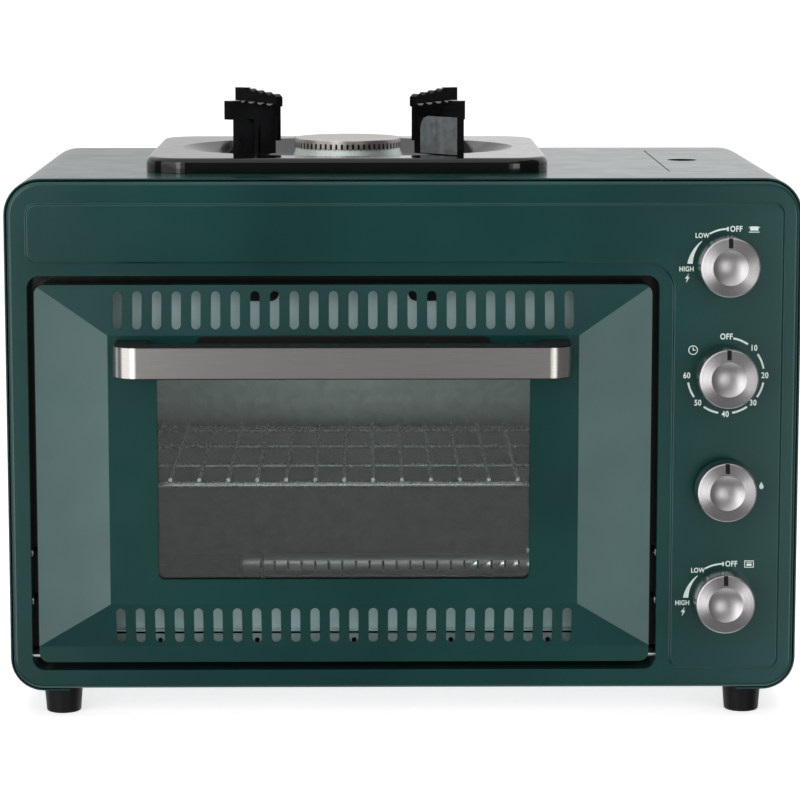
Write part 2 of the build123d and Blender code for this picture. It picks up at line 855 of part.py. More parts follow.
handle_outer_plan = handle_plan(0)
handle_inner_plan = handle_plan(handle_skin)
with BuildPart() as handle_bar:
    with BuildSketch(level(handle_bottom)):
        add(handle_outer_plan)
        add(handle_inner_plan, mode=Mode.SUBTRACT)
    extrude(amount=handle_height)
finish(handle_bar, "handle_bar")

with BuildPart() as handle_core:
    with BuildSketch(level(handle_bottom - handle_core_lip)):
        add(handle_inner_plan)
        for post_place in handle_screw_places:
            with Locations((post_place[0], (handle_back - door_rise) / 2)):
                Rectangle(handle_post_length, -door_rise - handle_back)
    extrude(amount=handle_height + 2 * handle_core_lip)
    with BuildSketch(facing_front(-door_rise)):
        with Locations(handle_screw_places):
            Circle(handle_screw_radius + pin_clearance)
    extrude(amount=handle_screw_length, mode=Mode.SUBTRACT)
finish(handle_core, "handle_core")

with BuildPart() as handle_screws:
    with BuildSketch(facing_front(glass_front)):
        with Locations(handle_screw_places):
            Circle(handle_screw_radius)
    extrude(amount=handle_screw_length)
    with BuildSketch(facing_front(glass_front)):
        with Locations(handle_screw_places):
            Circle(handle_screw_head_radius)
    extrude(amount=-handle_screw_head)
finish(handle_screws, "handle_screws")

# Trim behind the handle: a thin plate with rounded ends and a raised rim
trim_line = box_outline(
    door_x - trim_length / 2,
    door_x + trim_length / 2,
    trim_middle_height - trim_height / 2,
    trim_middle_height + trim_height / 2,
    trim_corner_radius,
)
trim_inner_line = box_outline(
    door_x - trim_length / 2 + steel,
    door_x + trim_length / 2 - steel,
    trim_middle_height - trim_height / 2 + steel,
    trim_middle_height + trim_height / 2 - steel,
    trim_corner_radius - steel,
)
with BuildPart() as handle_trim:
    with BuildSketch(facing_front(-door_rise)):
        add(trim_line)
    extrude(amount=trim_thickness)
    with BuildSketch(facing_front(-door_rise - trim_thickness)):
        add(trim_inner_line)
    extrude(amount=-trim_thickness / 2, mode=Mode.SUBTRACT)
finish(handle_trim, "handle_trim")

# Partition between the oven and the controls, with holes for the two pipes that cross it
partition_front = liner_front_depth + steel
with BuildPart() as partition_wall:
    with BuildSketch(side_on(partition_x)):
        with Locations(((partition_front + body_depth - steel) / 2, body_height / 2 + steel / 2)):
            Rectangle(body_depth - steel - partition_front, body_height - 3 * steel)
        with Locations((oven_burner_depth, oven_burner_height), (stove_pipe_depth, stove_knob_height)):
            Circle(pipe_radius + running_gap, mode=Mode.SUBTRACT)
    extrude(amount=steel)
finish(partition_wall, "partition_wall")

# Gas cartridge bay: a trough between two end walls, which also carry the lid's hinge pin
bay_top = body_height - steel - running_gap
cartridge_height = bay_floor + cartridge_radius


def trough_line(grow):
    """The bay seen from the front, open at its top, with its lower corners rounded."""
    bottom = bay_floor - grow
    with BuildSketch() as trough:
        with Locations((bay_x, (bottom + bay_top) / 2)):
            Rectangle(bay_right - bay_left + 2 * grow, bay_top - bottom)
        fillet(trough.vertices().group_by(Axis.Y)[0], bay_corner_radius + grow)
    return trough.sketch


trough_outer_line = trough_line(bay_wall)
trough_inner_line = trough_line(0)
end_wall_line = body_outline(steel + seat_gap)
with BuildPart() as cartridge_bay:
    with BuildSketch(facing_front(bay_front_depth)):
        add(trough_outer_line)
        add(trough_inner_line, mode=Mode.SUBTRACT)
        with Locations(body_middle):
            add(end_wall_line, mode=Mode.INTERSECT)
    extrude(amount=-(bay_back_depth - bay_front_depth))
    for wall_depth in (bay_front_depth, bay_back_depth + bay_wall):
        with BuildSketch(facing_front(wall_depth)):
            with Locations(((bay_left - bay_wall + half_width) / 2, (bay_floor - bay_wall + bay_top) / 2)):
                Rectangle(half_width - bay_left + bay_wall, bay_top - bay_floor + bay_wall)
            with Locations(body_middle):
                add(end_wall_line, mode=Mode.INTERSECT)
            with Locations((lid_hinge_x, lid_hinge_height)):
                Circle(lid_pin_radius + pin_clearance, mode=Mode.SUBTRACT)
        extrude(amount=bay_wall)
finish(cartridge_bay, "cartridge_bay")

with BuildPart() as lid_hinge_pin:
    with BuildSketch(facing_front(bay_front_depth - bay_wall)):
        with Locations((lid_hinge_x, lid_hinge_height)):
            Circle(lid_pin_radius)
    extrude(amount=-(bay_back_depth - bay_front_depth + 2 * bay_wall))
finish(lid_hinge_pin, "lid_hinge_pin")

# Gas lid: it follows the shell over its right corner and ends in a curl round the hinge pin
lid_middle_height = lid_hinge_height + lid_side_drop / 2
with BuildPart() as gas_lid:
    with BuildSketch(facing_front(lid_front_depth)):
        with Locations(body_middle):
            add(body_line)
            add(body_inner_line, mode=Mode.SUBTRACT)
        with Locations(((lid_left + half_width) / 2, lid_middle_height)):
            Rectangle(half_width - lid_left, lid_side_drop, mode=Mode.INTERSECT)
        with Locations((lid_left + steel / 2, body_height - lid_lip / 2)):
            Rectangle(steel, lid_lip)
        with Locations((lid_hinge_x, lid_hinge_height)):
            Circle(lid_curl_radius)
            Circle(lid_pin_radius + pin_clearance, mode=Mode.SUBTRACT)
    extrude(amount=-lid_length)
    with BuildSketch(level(body_height)):
        with Locations((lid_left + lid_hole_from_edge, lid_hole_depth)):
            Circle(lid_hole_radius)
    extrude(amount=-steel, mode=Mode.SUBTRACT)
finish(gas_lid, "gas_lid")

# Gas regulator on the bay's front wall, where the cartridge's neck enters
regulator_front = bay_front_depth - bay_wall - regulator_length
with BuildPart() as regulator:
    with BuildSketch(facing_front(regulator_front)):
        with Locations((bay_x, cartridge_height)):
            Circle(regulator_radius)
    extrude(amount=-regulator_length)
    fillet(regulator.faces().sort_by(Axis.Y)[0].edges(), regulator_edge_radius)
finish(regulator, "regulator")

# Two gas taps, alike but for their length: a mounting plate, a barrel and a bore for the knob's stem
for tap_name, tap_height, tap_back in (
    ("stove_tap", stove_knob_height, regulator_front),
    ("oven_tap", oven_knob_height, steel + tap_length),
):
    with BuildPart() as tap:
        with BuildSketch(facing_front(steel)):
            with Locations((knob_x, tap_height)):
                RectangleRounded(mount_plate_width, mount_plate_height, mount_plate_corner_radius)
        extrude(amount=-mount_plate_thickness)
        with BuildSketch(facing_front(steel)):
            with Locations((knob_x, tap_height)):
                Circle(tap_radius)
        extrude(amount=-(tap_back - steel))
        with BuildSketch(facing_front(steel)):
            with Locations((knob_x, tap_height)):
                Circle(stem_radius + pin_clearance)
        extrude(amount=-(stem_behind + running_gap - steel), mode=Mode.SUBTRACT)
    finish(tap, tap_name)

# Timer unit: a square clockwork case with a round neck
with BuildPart() as timer_unit:
    with BuildSketch(facing_front(steel)):
        with Locations((knob_x, timer_knob_height)):
            RectangleRounded(timer_size, timer_size, timer_corner_radius)
    extrude(amount=-timer_length)
    with BuildSketch(facing_front(steel)):
        with Locations((knob_x, timer_knob_height)):
            Circle(stem_radius + pin_clearance)
    extrude(amount=-(stem_behind + running_gap - steel), mode=Mode.SUBTRACT)
finish(timer_unit, "timer_unit")

# Flame safety valve, with room behind the button's stem for its travel
with BuildPart() as safety_valve:
    with BuildSketch(facing_front(steel)):
        with Locations((knob_x, safety_button_height)):
            RectangleRounded(mount_plate_width, mount_plate_height, mount_plate_corner_radius)
    extrude(amount=-mount_plate_thickness)
    with BuildSketch(facing_front(steel)):
        with Locations((knob_x, safety_button_height)):
            Circle(safety_valve_radius)
    extrude(amount=-safety_valve_length)
    with BuildSketch(facing_front(steel)):
        with Locations((knob_x, safety_button_height)):
            Circle(stem_radius + pin_clearance)
    extrude(amount=-(stem_behind + safety_travel + running_gap - steel), mode=Mode.SUBTRACT)
finish(safety_valve, "safety_valve")

# Knobs: turned caps with a dished middle in a sloping ring and an index notch, each on its own stem
dish_curve = (knob_dish_radius**2 + knob_dish_depth**2) / (2 * knob_dish_depth)
turning_base = -(panel_rise + 2 * running_gap)
pushing_base = turning_base - safety_travel
for control_name, control_height, base_depth in (
    ("stove_knob", stove_knob_height, turning_base),
    ("timer_knob", timer_knob_height, turning_base),
    ("safety_button", safety_button_height, pushing_base),
    ("oven_knob", oven_knob_height, turning_base),
):
    with BuildPart() as knob:
        with BuildSketch(level(control_height)) as knob_profile:
            face_corner = (knob_x + knob_face_radius, knob_ring_fall - knob_reach)
            with BuildLine():
                Polyline(
                    (knob_x, -knob_reach),
                    (knob_x, base_depth),
                    (knob_x + knob_base_radius, base_depth),
                    face_corner,
                    (knob_x + knob_dish_radius, -knob_reach),
                    close=True,
                )
            make_face()
            fillet(knob_profile.vertices().sort_by_distance(face_corner)[0], knob_edge_radius)
        revolve(axis=Axis(place(knob_x, 0, control_height), (0, 1, 0)))
        with Locations(place(knob_x, knob_dish_depth - dish_curve - knob_reach, control_height)):
            Sphere(dish_curve, mode=Mode.SUBTRACT)
        index_middle = control_height + knob_face_radius - knob_index_length / 2
        with BuildSketch(facing_front(-knob_reach)):
            with Locations((knob_x, index_middle)):
                Rectangle(knob_index_width, knob_index_length)
        extrude(amount=-knob_index_depth, mode=Mode.SUBTRACT)
        with BuildSketch(facing_front(base_depth)):
            with Locations((knob_x, control_height)):
                Circle(stem_radius + pin_clearance)
        extrude(amount=stem_in_knob + base_depth, mode=Mode.SUBTRACT)
    finish(knob, control_name)
    with BuildPart() as stem:
        with BuildSketch(facing_front(stem_behind)):
            with Locations((knob_x, control_height)):
                Circle(stem_radius)
        extrude(amount=stem_behind + stem_in_knob)
    finish(stem, control_name + "_stem")

# Pipes: the supply feeds the safety valve, which feeds the oven tap, and each burner has its own


def bend_pipe(points, bend):
    """A thin tube along straight runs joined by bends."""
    with BuildPart() as pipe:
        with BuildLine() as route:
            FilletPolyline(*points, radius=bend)
        with BuildSketch(Plane(origin=route.line @ 0, z_dir=route.line % 0)):
            Circle(pipe_radius)
            Circle(pipe_radius - pipe_wall, mode=Mode.SUBTRACT)
        sweep()
    return pipe


supply_pipe = bend_pipe(
    (
        place(bay_x + regulator_radius, supply_pipe_depth, cartridge_height),
        place(half_width - supply_pipe_from_right, supply_pipe_depth, cartridge_height),
        place(half_width - supply_pipe_from_right, supply_pipe_depth, safety_button_height),
        place(knob_x + safety_valve_radius, supply_pipe_depth, safety_button_height),
    ),
    small_pipe_bend,
)
finish(supply_pipe, "supply_pipe")

with BuildPart() as link_pipe:
    with BuildSketch(level(oven_knob_height + tap_radius)):
        with Locations((knob_x, link_pipe_depth)):
            Circle(pipe_radius)
            Circle(pipe_radius - pipe_wall, mode=Mode.SUBTRACT)
    extrude(amount=safety_button_height - safety_valve_radius - oven_knob_height - tap_radius)
finish(link_pipe, "link_pipe")

oven_burner_right = liner_right + oven_burner_radius + steel
oven_pipe = bend_pipe(
    (
        place(knob_x, steel + tap_length + seat_gap, oven_knob_height),
        place(knob_x, oven_burner_depth, oven_burner_height),
        place(oven_burner_right, oven_burner_depth, oven_burner_height),
    ),
    pipe_bend,
)
finish(oven_pipe, "oven_pipe")

burner_tube_height = body_height - burner_tube_drop
stove_pipe_x = partition_x - stove_pipe_from_partition
stove_pipe = bend_pipe(
    (
        place(knob_x - tap_radius, stove_pipe_depth, stove_knob_height),
        place(stove_pipe_x, stove_pipe_depth, stove_knob_height),
        place(stove_pipe_x, burner_depth, burner_tube_height),
        place(burner_tube_end, burner_depth, burner_tube_height),
    ),
    pipe_bend,
)
finish(stove_pipe, "stove_pipe")

# Oven burner: a stainless tube closed at its left end, with a row of flame ports along its front
with BuildPart() as oven_burner_tube:
    with BuildSketch(side_on(oven_burner_left)):
        with Locations((oven_burner_depth, oven_burner_height)):
            Circle(oven_burner_radius)
    extrude(amount=oven_burner_right - oven_burner_left)
    with BuildSketch(side_on(oven_burner_left + steel)):
        with Locations((oven_burner_depth, oven_burner_height)):
            Circle(oven_burner_radius - steel)
    extrude(amount=oven_burner_right - oven_burner_left - 2 * steel, mode=Mode.SUBTRACT)
    fillet(oven_burner_tube.faces().sort_by(Axis.X)[0].edges(), oven_burner_end_radius)
    port_pitch = (liner_right - oven_burner_left - 4 * oven_burner_radius) / (oven_burner_port_count - 1)
    with BuildSketch(facing_front(oven_burner_depth - oven_burner_radius)):
        with Locations(((oven_burner_left + liner_right) / 2, oven_burner_height)):
            with GridLocations(port_pitch, 0, oven_burner_port_count, 1):
                Rectangle(oven_burner_port_width, oven_burner_radius)
    extrude(amount=-oven_burner_radius, mode=Mode.SUBTRACT)
finish(oven_burner_tube, "oven_burner_tube")

with BuildPart() as oven_burner_bracket:
    with BuildSketch(side_on(oven_burner_left + 2 * oven_burner_radius)):
        with Locations((oven_burner_depth, (liner_bottom + oven_burner_height) / 2)):
            Rectangle(2 * oven_burner_radius, oven_burner_height - liner_bottom)
        with Locations((oven_burner_depth, oven_burner_height)):
            Circle(oven_burner_radius + 2 * steel)
            Circle(oven_burner_radius + pin_clearance, mode=Mode.SUBTRACT)
    extrude(amount=2 * steel)
    with BuildSketch(level(liner_bottom)):
        with Locations((oven_burner_left + oven_burner_radius, oven_burner_depth)):
            Rectangle(2 * oven_burner_radius, 2 * oven_burner_radius)
    extrude(amount=steel)
finish(oven_burner_bracket, "oven_burner_bracket")

# Spark electrode and thermocouple: a rod through a ceramic sleeve in the liner's right wall
for probe_name, probe_place in (("oven_electrode", electrode_place), ("thermocouple", thermocouple_place)):
    with BuildPart() as probe:
        with BuildSketch(side_on(liner_right - rod_length)):
            with Locations(probe_place):
                Circle(rod_radius)
        extrude(amount=rod_length + ceramic_length)
        with BuildSketch(side_on(liner_right - ceramic_length / 2)):
            with Locations(probe_place):
                Circle(ceramic_radius)
        extrude(amount=ceramic_length)
    finish(probe, probe_name)

# Stove burner: a cast base with its mixer tube, on a strap under the shell's top
burner_base_top = body_height + burner_cap_top - burner_cap_height
burner_base_bottom = body_height - burner_base_drop
flare_bottom = body_height + burner_flare_height
with BuildPart() as stove_burner_base:
    with BuildSketch(level(burner_base_bottom)):
        with Locations((burner_x, burner_depth)):
            Circle(burner_neck_radius)
    extrude(amount=body_height - burner_skirt_height - burner_base_bottom)
    with BuildSketch(level(body_height - burner_skirt_height)):
        with Locations((burner_x, burner_depth)):
            Circle(burner_neck_radius)
    with BuildSketch(level(flare_bottom)):
        with Locations((burner_x, burner_depth)):
            Circle(burner_base_radius)
    loft()
    with BuildSketch(level(flare_bottom)):
        with Locations((burner_x, burner_depth)):
            Circle(burner_base_radius)
    with BuildSketch(level(burner_base_top)):
        with Locations((burner_x, burner_depth)):
            Circle(burner_cap_radius - steel)
    loft()
    with BuildSketch(side_on(burner_x)):
        with Locations((burner_depth, burner_tube_height)):
            Circle(burner_tube_radius)
    extrude(amount=burner_tube_end - burner_x)
    with BuildSketch(side_on(burner_tube_end)):
        with Locations((burner_depth, burner_tube_height)):
            Circle(burner_tube_radius - 2 * steel)
    extrude(amount=-2 * burner_tube_radius, mode=Mode.SUBTRACT)
finish(stove_burner_base, "stove_burner_base")

with BuildPart() as stove_burner_strap:
    strap_top = body_height - steel
    strap_left = burner_x - burner_strap_reach
    strap_right = burner_x + burner_strap_reach
    strap_tube_seat = burner_tube_height - burner_tube_radius - running_gap
    with BuildSketch(facing_front(burner_depth - burner_strap_width / 2)):
        with BuildLine():
            Polyline(
                (strap_left - burner_tube_radius, strap_top),
                (strap_left, strap_top),
                (strap_left, burner_base_bottom),
                (strap_right, burner_base_bottom),
                (strap_right, strap_tube_seat),
                (strap_right + burner_strap_thickness, strap_tube_seat),
                (strap_right + burner_strap_thickness, burner_base_bottom - burner_strap_thickness),
                (strap_left - burner_strap_thickness, burner_base_bottom - burner_strap_thickness),
                (strap_left - burner_strap_thickness, strap_top - burner_strap_thickness),
                (strap_left - burner_tube_radius, strap_top - burner_strap_thickness),
                close=True,
            )
        make_face()
    extrude(amount=-burner_strap_width)
finish(stove_burner_strap, "stove_burner_strap")

with BuildPart() as burner_cap:
    with BuildSketch(level(burner_base_top)):
        with Locations((burner_x, burner_depth)):
            Circle(burner_cap_radius)
    extrude(amount=burner_cap_height)
    fillet(burner_cap.faces().sort_by(Axis.Z)[-1].edges(), burner_cap_edge_radius)
    cap_curve = ((burner_cap_radius - burner_cap_rim) ** 2 + burner_cap_dish**2) / (2 * burner_cap_dish)
    with Locations(place(burner_x, burner_depth, body_height + burner_cap_top - burner_cap_dish + cap_curve)):
        Sphere(cap_curve, mode=Mode.SUBTRACT)
    with BuildSketch(level(burner_base_top)):
        with Locations((burner_x, burner_depth)):
            with PolarLocations(burner_cap_radius, burner_slot_count):
                Rectangle(2 * burner_slot_depth, burner_slot_width)
    extrude(amount=burner_slot_height, mode=Mode.SUBTRACT)
finish(burner_cap, "burner_cap")

# Drip pan: a pressed tray whose oval bowl slopes down to a hole round the burner
bowl_floor = pan_top - bowl_drop
with BuildPart() as drip_pan:
    with BuildSketch(level(body_height + seat_gap)):
        with Locations((burner_x, burner_depth)):
            RectangleRounded(pan_width, pan_depth, pan_corner_radius)
    extrude(amount=pan_height - seat_gap)
    fillet(drip_pan.faces().sort_by(Axis.Z)[-1].edges(), pan_edge_radius)
    with BuildSketch(level(body_height + seat_gap)):
        with Locations((burner_x, burner_depth)):
            RectangleRounded(
                pan_width - 2 * pan_sheet,
                pan_depth - 2 * pan_sheet,
                pan_corner_radius - pan_sheet,
            )
    extrude(amount=pan_height - seat_gap - pan_edge_radius, mode=Mode.SUBTRACT)
    with BuildSketch(level(pan_top - pan_sheet)):
        with Locations((burner_x, burner_depth)):
            RectangleRounded(
                pan_width - 2 * pan_edge_radius,
                pan_depth - 2 * pan_edge_radius,
                pan_corner_radius - pan_edge_radius,
            )
    extrude(amount=-pan_edge_radius, mode=Mode.SUBTRACT)
    with BuildSketch(level(pan_top)):
        with Locations((burner_x, burner_depth)):
            Ellipse(bowl_width / 2 + pan_sheet, bowl_length / 2 + pan_sheet)
    with BuildSketch(level(bowl_floor - pan_sheet)):
        with Locations((burner_x, burner_depth)):
            Ellipse(bowl_width / 2 - bowl_slope + pan_sheet, bowl_length / 2 - bowl_slope + pan_sheet)
    loft()
    with BuildSketch(level(pan_top)):
        with Locations((burner_x, burner_depth)):
            Ellipse(bowl_width / 2, bowl_length / 2)
    with BuildSketch(level(bowl_floor)):
        with Locations((burner_x, burner_depth)):
            Ellipse(bowl_width / 2 - bowl_slope, bowl_length / 2 - bowl_slope)
    loft(mode=Mode.SUBTRACT)
    with BuildSketch(level(bowl_floor)):
        with Locations((burner_x, burner_depth)):
            Circle(burner_base_radius + pan_hole_gap)
    extrude(amount=-pan_sheet, mode=Mode.SUBTRACT)
finish(drip_pan, "drip_pan")

# Pot supports: a toothed bar on a flat cheek with a folded end, and a post apart from the cheek
bar_bottom = support_outer_top - pan_height - support_block_height
bar_inner_top = support_inner_top - pan_height
bar_outer_top = support_outer_top - pan_height
bar_half = support_length / 2


def pot_support(cheek_run, post_run):
    """A support along X with its outer end at +X, its feet on the level XY plane."""
    cheek_inner, cheek_outer = cheek_run
    post_inner, post_outer = post_run
    with BuildPart() as support:
        with BuildSketch(Plane.XZ.offset(-support_width / 2)):
            with BuildLine():
                Polyline(
                    (-bar_half, bar_bottom),
                    (-bar_half, bar_inner_top),
                    (bar_half - support_flat, bar_outer_top - support_tooth_rise),
                    (bar_half - support_flat, bar_outer_top),
                    (bar_half, bar_outer_top),
                    (bar_half, bar_bottom),
                    close=True,
                )
            make_face()
            tooth_pitch = (support_length - support_flat) / support_teeth
            tooth_climb = (bar_outer_top - support_tooth_rise - bar_inner_top) / support_teeth
            tooth_base = bar_inner_top + support_tooth_rise - support_tooth_radius
            for tooth in range(support_teeth):
                tooth_x = (tooth + 0.5) * tooth_pitch - bar_half
                with Locations((tooth_x, tooth_base + (tooth + 0.5) * tooth_climb)):
                    Circle(support_tooth_radius)
        extrude(amount=support_width)
        with BuildSketch(Plane.XZ.offset(support_width / 2 - support_plate)):
            with Locations(((cheek_inner + cheek_outer) / 2, bar_bottom / 2)):
                cheek = Rectangle(cheek_outer - cheek_inner, bar_bottom)
            fillet(cheek.vertices().group_by(Axis.Y)[-1].sort_by(Axis.X)[0], support_cheek_corner)
        extrude(amount=support_plate)
        with BuildSketch(Plane.XY):
            with Locations((cheek_outer - support_plate / 2, 0)):
                Rectangle(support_plate, support_width)
            with Locations(((post_inner + post_outer) / 2, 0)):
                Rectangle(post_outer - post_inner, support_post_thickness)
        extrude(amount=bar_bottom)
    return support.part


narrow_support = pot_support(support_narrow_cheek, support_narrow_post)
wide_support = pot_support(support_wide_cheek, support_wide_post)
with BuildPart() as pot_supports:
    for side, end, turn, kind in (
        (1, -1, -45, wide_support),
        (-1, -1, -135, narrow_support),
        (-1, 1, 135, narrow_support),
        (1, 1, 45, wide_support),
    ):
        support_x = burner_x + support_shift + side * support_out
        spot = Location(place(support_x, burner_depth + end * support_back, pan_top), (0, 0, turn))
        add(kind.moved(spot))
finish(pot_supports, "pot_supports")
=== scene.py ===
# %% [markdown]
# # A portable camp oven, dressed for its portrait
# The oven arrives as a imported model: every solid piece at its real size, each on the body that it moves with.
# This notebook gives those pieces their finishes, adds the printed scales and the screw heads,
# and then sets the floor, the lamps and the camera. Lengths are in metres, and mm turns millimetres into them.

# %% Load the oven
import json
import math
import bmesh
import bpy
from mathutils import Matrix, Vector


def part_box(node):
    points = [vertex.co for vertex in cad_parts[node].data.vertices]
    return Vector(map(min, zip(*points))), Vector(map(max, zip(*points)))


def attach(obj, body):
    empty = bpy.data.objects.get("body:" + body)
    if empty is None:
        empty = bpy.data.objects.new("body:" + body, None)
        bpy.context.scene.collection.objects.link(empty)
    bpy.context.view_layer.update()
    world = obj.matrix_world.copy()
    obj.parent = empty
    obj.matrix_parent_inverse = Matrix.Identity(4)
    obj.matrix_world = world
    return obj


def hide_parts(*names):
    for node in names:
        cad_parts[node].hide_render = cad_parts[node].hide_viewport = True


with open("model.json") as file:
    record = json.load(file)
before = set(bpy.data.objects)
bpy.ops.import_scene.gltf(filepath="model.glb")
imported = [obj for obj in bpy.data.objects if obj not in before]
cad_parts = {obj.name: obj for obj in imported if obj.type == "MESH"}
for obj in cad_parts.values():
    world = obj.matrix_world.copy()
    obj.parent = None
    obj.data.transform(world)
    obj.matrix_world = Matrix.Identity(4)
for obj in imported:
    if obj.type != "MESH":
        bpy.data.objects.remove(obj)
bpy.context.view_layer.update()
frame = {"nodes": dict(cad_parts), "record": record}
mm = 0.001
controls = {
    "stove_knob": "stove_control", "timer_knob": "timer_control",
    "safety_button": "safety_control", "oven_knob": "oven_control",
}

# %% [markdown]
# ## Objects and boxes
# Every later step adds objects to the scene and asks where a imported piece's middle is, so both have a helper.

# %% Two helpers for objects and boxes
def put(name, data):
    """A new object in the scene, at the origin, that shows the given data."""
    thing = bpy.data.objects.new(name, data)
    bpy.context.scene.collection.objects.link(thing)
    return thing


def middle(box):
    """The point halfway between a box's low and high corners."""
    return (box[0] + box[1]) / 2


# %% [markdown]
# ## Colours and nodes
# A colour is written as the hex value that a paint chart would give, and one function turns it into the linear
# value that shaders work in. A second function adds a node with its settings and its links in one call,
# which keeps each material short enough to read.

# %% Two helpers for materials
def linear(hex_colour):
    """An sRGB hex value as the linear colour of a shader socket."""
    channels = [int(hex_colour[i:i + 2], 16) / 255 for i in (1, 3, 5)]
    return [c / 12.92 if c <= 0.04045 else ((c + 0.055) / 1.055) ** 2.4 for c in channels] + [1]


def add_node(tree, kind, inputs=None, **settings):
    """Adds a node; each input is a plain value or the output socket that it is linked to."""
    node = tree.nodes.new(kind)
    for name, value in settings.items():
        setattr(node, name, value)
    for name, value in (inputs or {}).items():
        if isinstance(value, bpy.types.NodeSocket):
            tree.links.new(value, node.inputs[name])
        else:
            node.inputs[name].default_value = value
    return node


def new_finish(name, **shader):
    """A material with one Principled shader, its node tree and the object's own coordinates."""
    finish = bpy.data.materials.new(name)
    finish.use_nodes = True
    tree = finish.node_tree
    surface = tree.nodes["Principled BSDF"]
    for socket, value in shader.items():
        surface.inputs[socket.replace("_", " ")].default_value = value
    place = add_node(tree, "ShaderNodeTexCoord").outputs["Object"]
    return finish, tree, surface, place


def grain(tree, place, size, detail=2.0, stretch=(1, 1, 1)):
    """Noise whose blobs are about size across, in metres; stretch pulls them out along an axis."""
    scaled = add_node(tree, "ShaderNodeMapping", {"Vector": place, "Scale": [1 / s for s in stretch]})
    noise = add_node(
        tree, "ShaderNodeTexNoise", {"Vector": scaled.outputs["Vector"], "Scale": 1 / size, "Detail": detail}
    )
    return noise.outputs["Fac"]


def vary(tree, value, low, high):
    """Turns noise, which mostly lies between 0.3 and 0.7, into a value from low to high."""
    spread = add_node(
        tree, "ShaderNodeMapRange", {"Value": value, "From Min": 0.3, "From Max": 0.7, "To Min": low, "To Max": high}
    )
    return spread.outputs["Result"]


def tint(tree, value, dark, light):
    """Mixes two hex colours by a value from 0 to 1."""
    mix = add_node(tree, "ShaderNodeMix", {"Factor": value}, data_type="RGBA")
    mix.inputs[6].default_value = linear(dark)
    mix.inputs[7].default_value = linear(light)
    return mix.outputs[2]


def relief(tree, surface, height, depth):
    """Bumps the surface by a height map whose full range is depth, in metres."""
    bump = add_node(tree, "ShaderNodeBump", {"Height": height, "Distance": depth, "Strength": 1.0})
    tree.links.new(bump.outputs["Normal"], surface.inputs["Normal"])


# %% [markdown]
# ## Painted and enamelled steel
# The shell, the fascia, the door and the gas lid are pressed steel with a glossy baked enamel paint, a deep blue
# green. Sprayed paint levels out while it is wet but keeps a faint orange peel, about 2 mm from crest to crest,
# and its tone drifts a little over a hand's width. The drip pan is black vitreous enamel, which is glass:
# harder, glossier and a little wavier.

# %% Green enamel paint and black vitreous enamel
def green_enamel_paint():
    finish, tree, surface, place = new_finish(
        "baked_enamel_paint_green", IOR=1.5, Specular_Tint=(0.82, 1.0, 1.0, 1.0)
    )
    drift = vary(tree, grain(tree, place, 90 * mm, 1.0), 0, 1)
    tree.links.new(tint(tree, drift, "#09302D", "#0F3936"), surface.inputs["Base Color"])
    haze = vary(tree, grain(tree, place, 25 * mm), 0.18, 0.22)
    tree.links.new(haze, surface.inputs["Roughness"])
    relief(tree, surface, grain(tree, place, 2 * mm, 0.0), 0.006 * mm)
    return finish


def black_vitreous_enamel():
    finish, tree, surface, place = new_finish("vitreous_enamel_black", IOR=1.52)
    drift = vary(tree, grain(tree, place, 12 * mm), 0, 1)
    tree.links.new(tint(tree, drift, "#020203", "#050506"), surface.inputs["Base Color"])
    tree.links.new(vary(tree, grain(tree, place, 8 * mm), 0.08, 0.14), surface.inputs["Roughness"])
    relief(tree, surface, grain(tree, place, 4 * mm, 1.0), 0.02 * mm)
    return finish


def grey_green_primer():
    """The thin primer on the door's inner sheet, matter and paler than the enamel outside."""
    finish, tree, surface, place = new_finish("primer_grey_green", IOR=1.45)
    drift = vary(tree, grain(tree, place, 30 * mm), 0, 1)
    tree.links.new(tint(tree, drift, "#AAC6C6", "#BAD3D3"), surface.inputs["Base Color"])
    tree.links.new(vary(tree, grain(tree, place, 3 * mm), 0.4, 0.55), surface.inputs["Roughness"])
    relief(tree, surface, grain(tree, place, 1 * mm), 0.01 * mm)
    return finish


# %% [markdown]
# ## Cast iron, moulded plastic and ceramic
# The pot supports are cast iron under a thin black stove paint, so sand grains of half a millimetre show through.
# The feet, the handle core and the trim are glass-filled nylon with a fine spark texture.
# The probes' sleeves are unglazed white ceramic.

# %% Cast iron, black nylon, timer plastic and white ceramic
def painted_cast_iron():
    finish, tree, surface, place = new_finish("cast_iron_stove_black", IOR=1.4)
    drift = vary(tree, grain(tree, place, 6 * mm), 0, 1)
    tree.links.new(tint(tree, drift, "#030304", "#070708"), surface.inputs["Base Color"])
    tree.links.new(vary(tree, grain(tree, place, 3 * mm), 0.12, 0.2), surface.inputs["Roughness"])
    relief(tree, surface, grain(tree, place, 1.5 * mm), 0.015 * mm)
    return finish


def moulded_plastic(name, dark, light):
    """Injection moulded plastic with a spark-eroded skin of 0.6 mm, drawn as coarse as it needs to show."""
    finish, tree, surface, place = new_finish(name, IOR=1.35)
    drift = vary(tree, grain(tree, place, 15 * mm), 0, 1)
    tree.links.new(tint(tree, drift, dark, light), surface.inputs["Base Color"])
    tree.links.new(vary(tree, grain(tree, place, 4 * mm), 0.4, 0.55), surface.inputs["Roughness"])
    relief(tree, surface, grain(tree, place, 0.6 * mm), 0.02 * mm)
    return finish


def unglazed_ceramic():
    finish, tree, surface, place = new_finish("alumina_ceramic_white", IOR=1.6)
    drift = vary(tree, grain(tree, place, 2 * mm), 0, 1)
    tree.links.new(tint(tree, drift, "#DAD6CA", "#E8E5DC"), surface.inputs["Base Color"])
    tree.links.new(vary(tree, grain(tree, place, 1 * mm), 0.5, 0.65), surface.inputs["Roughness"])
    return finish


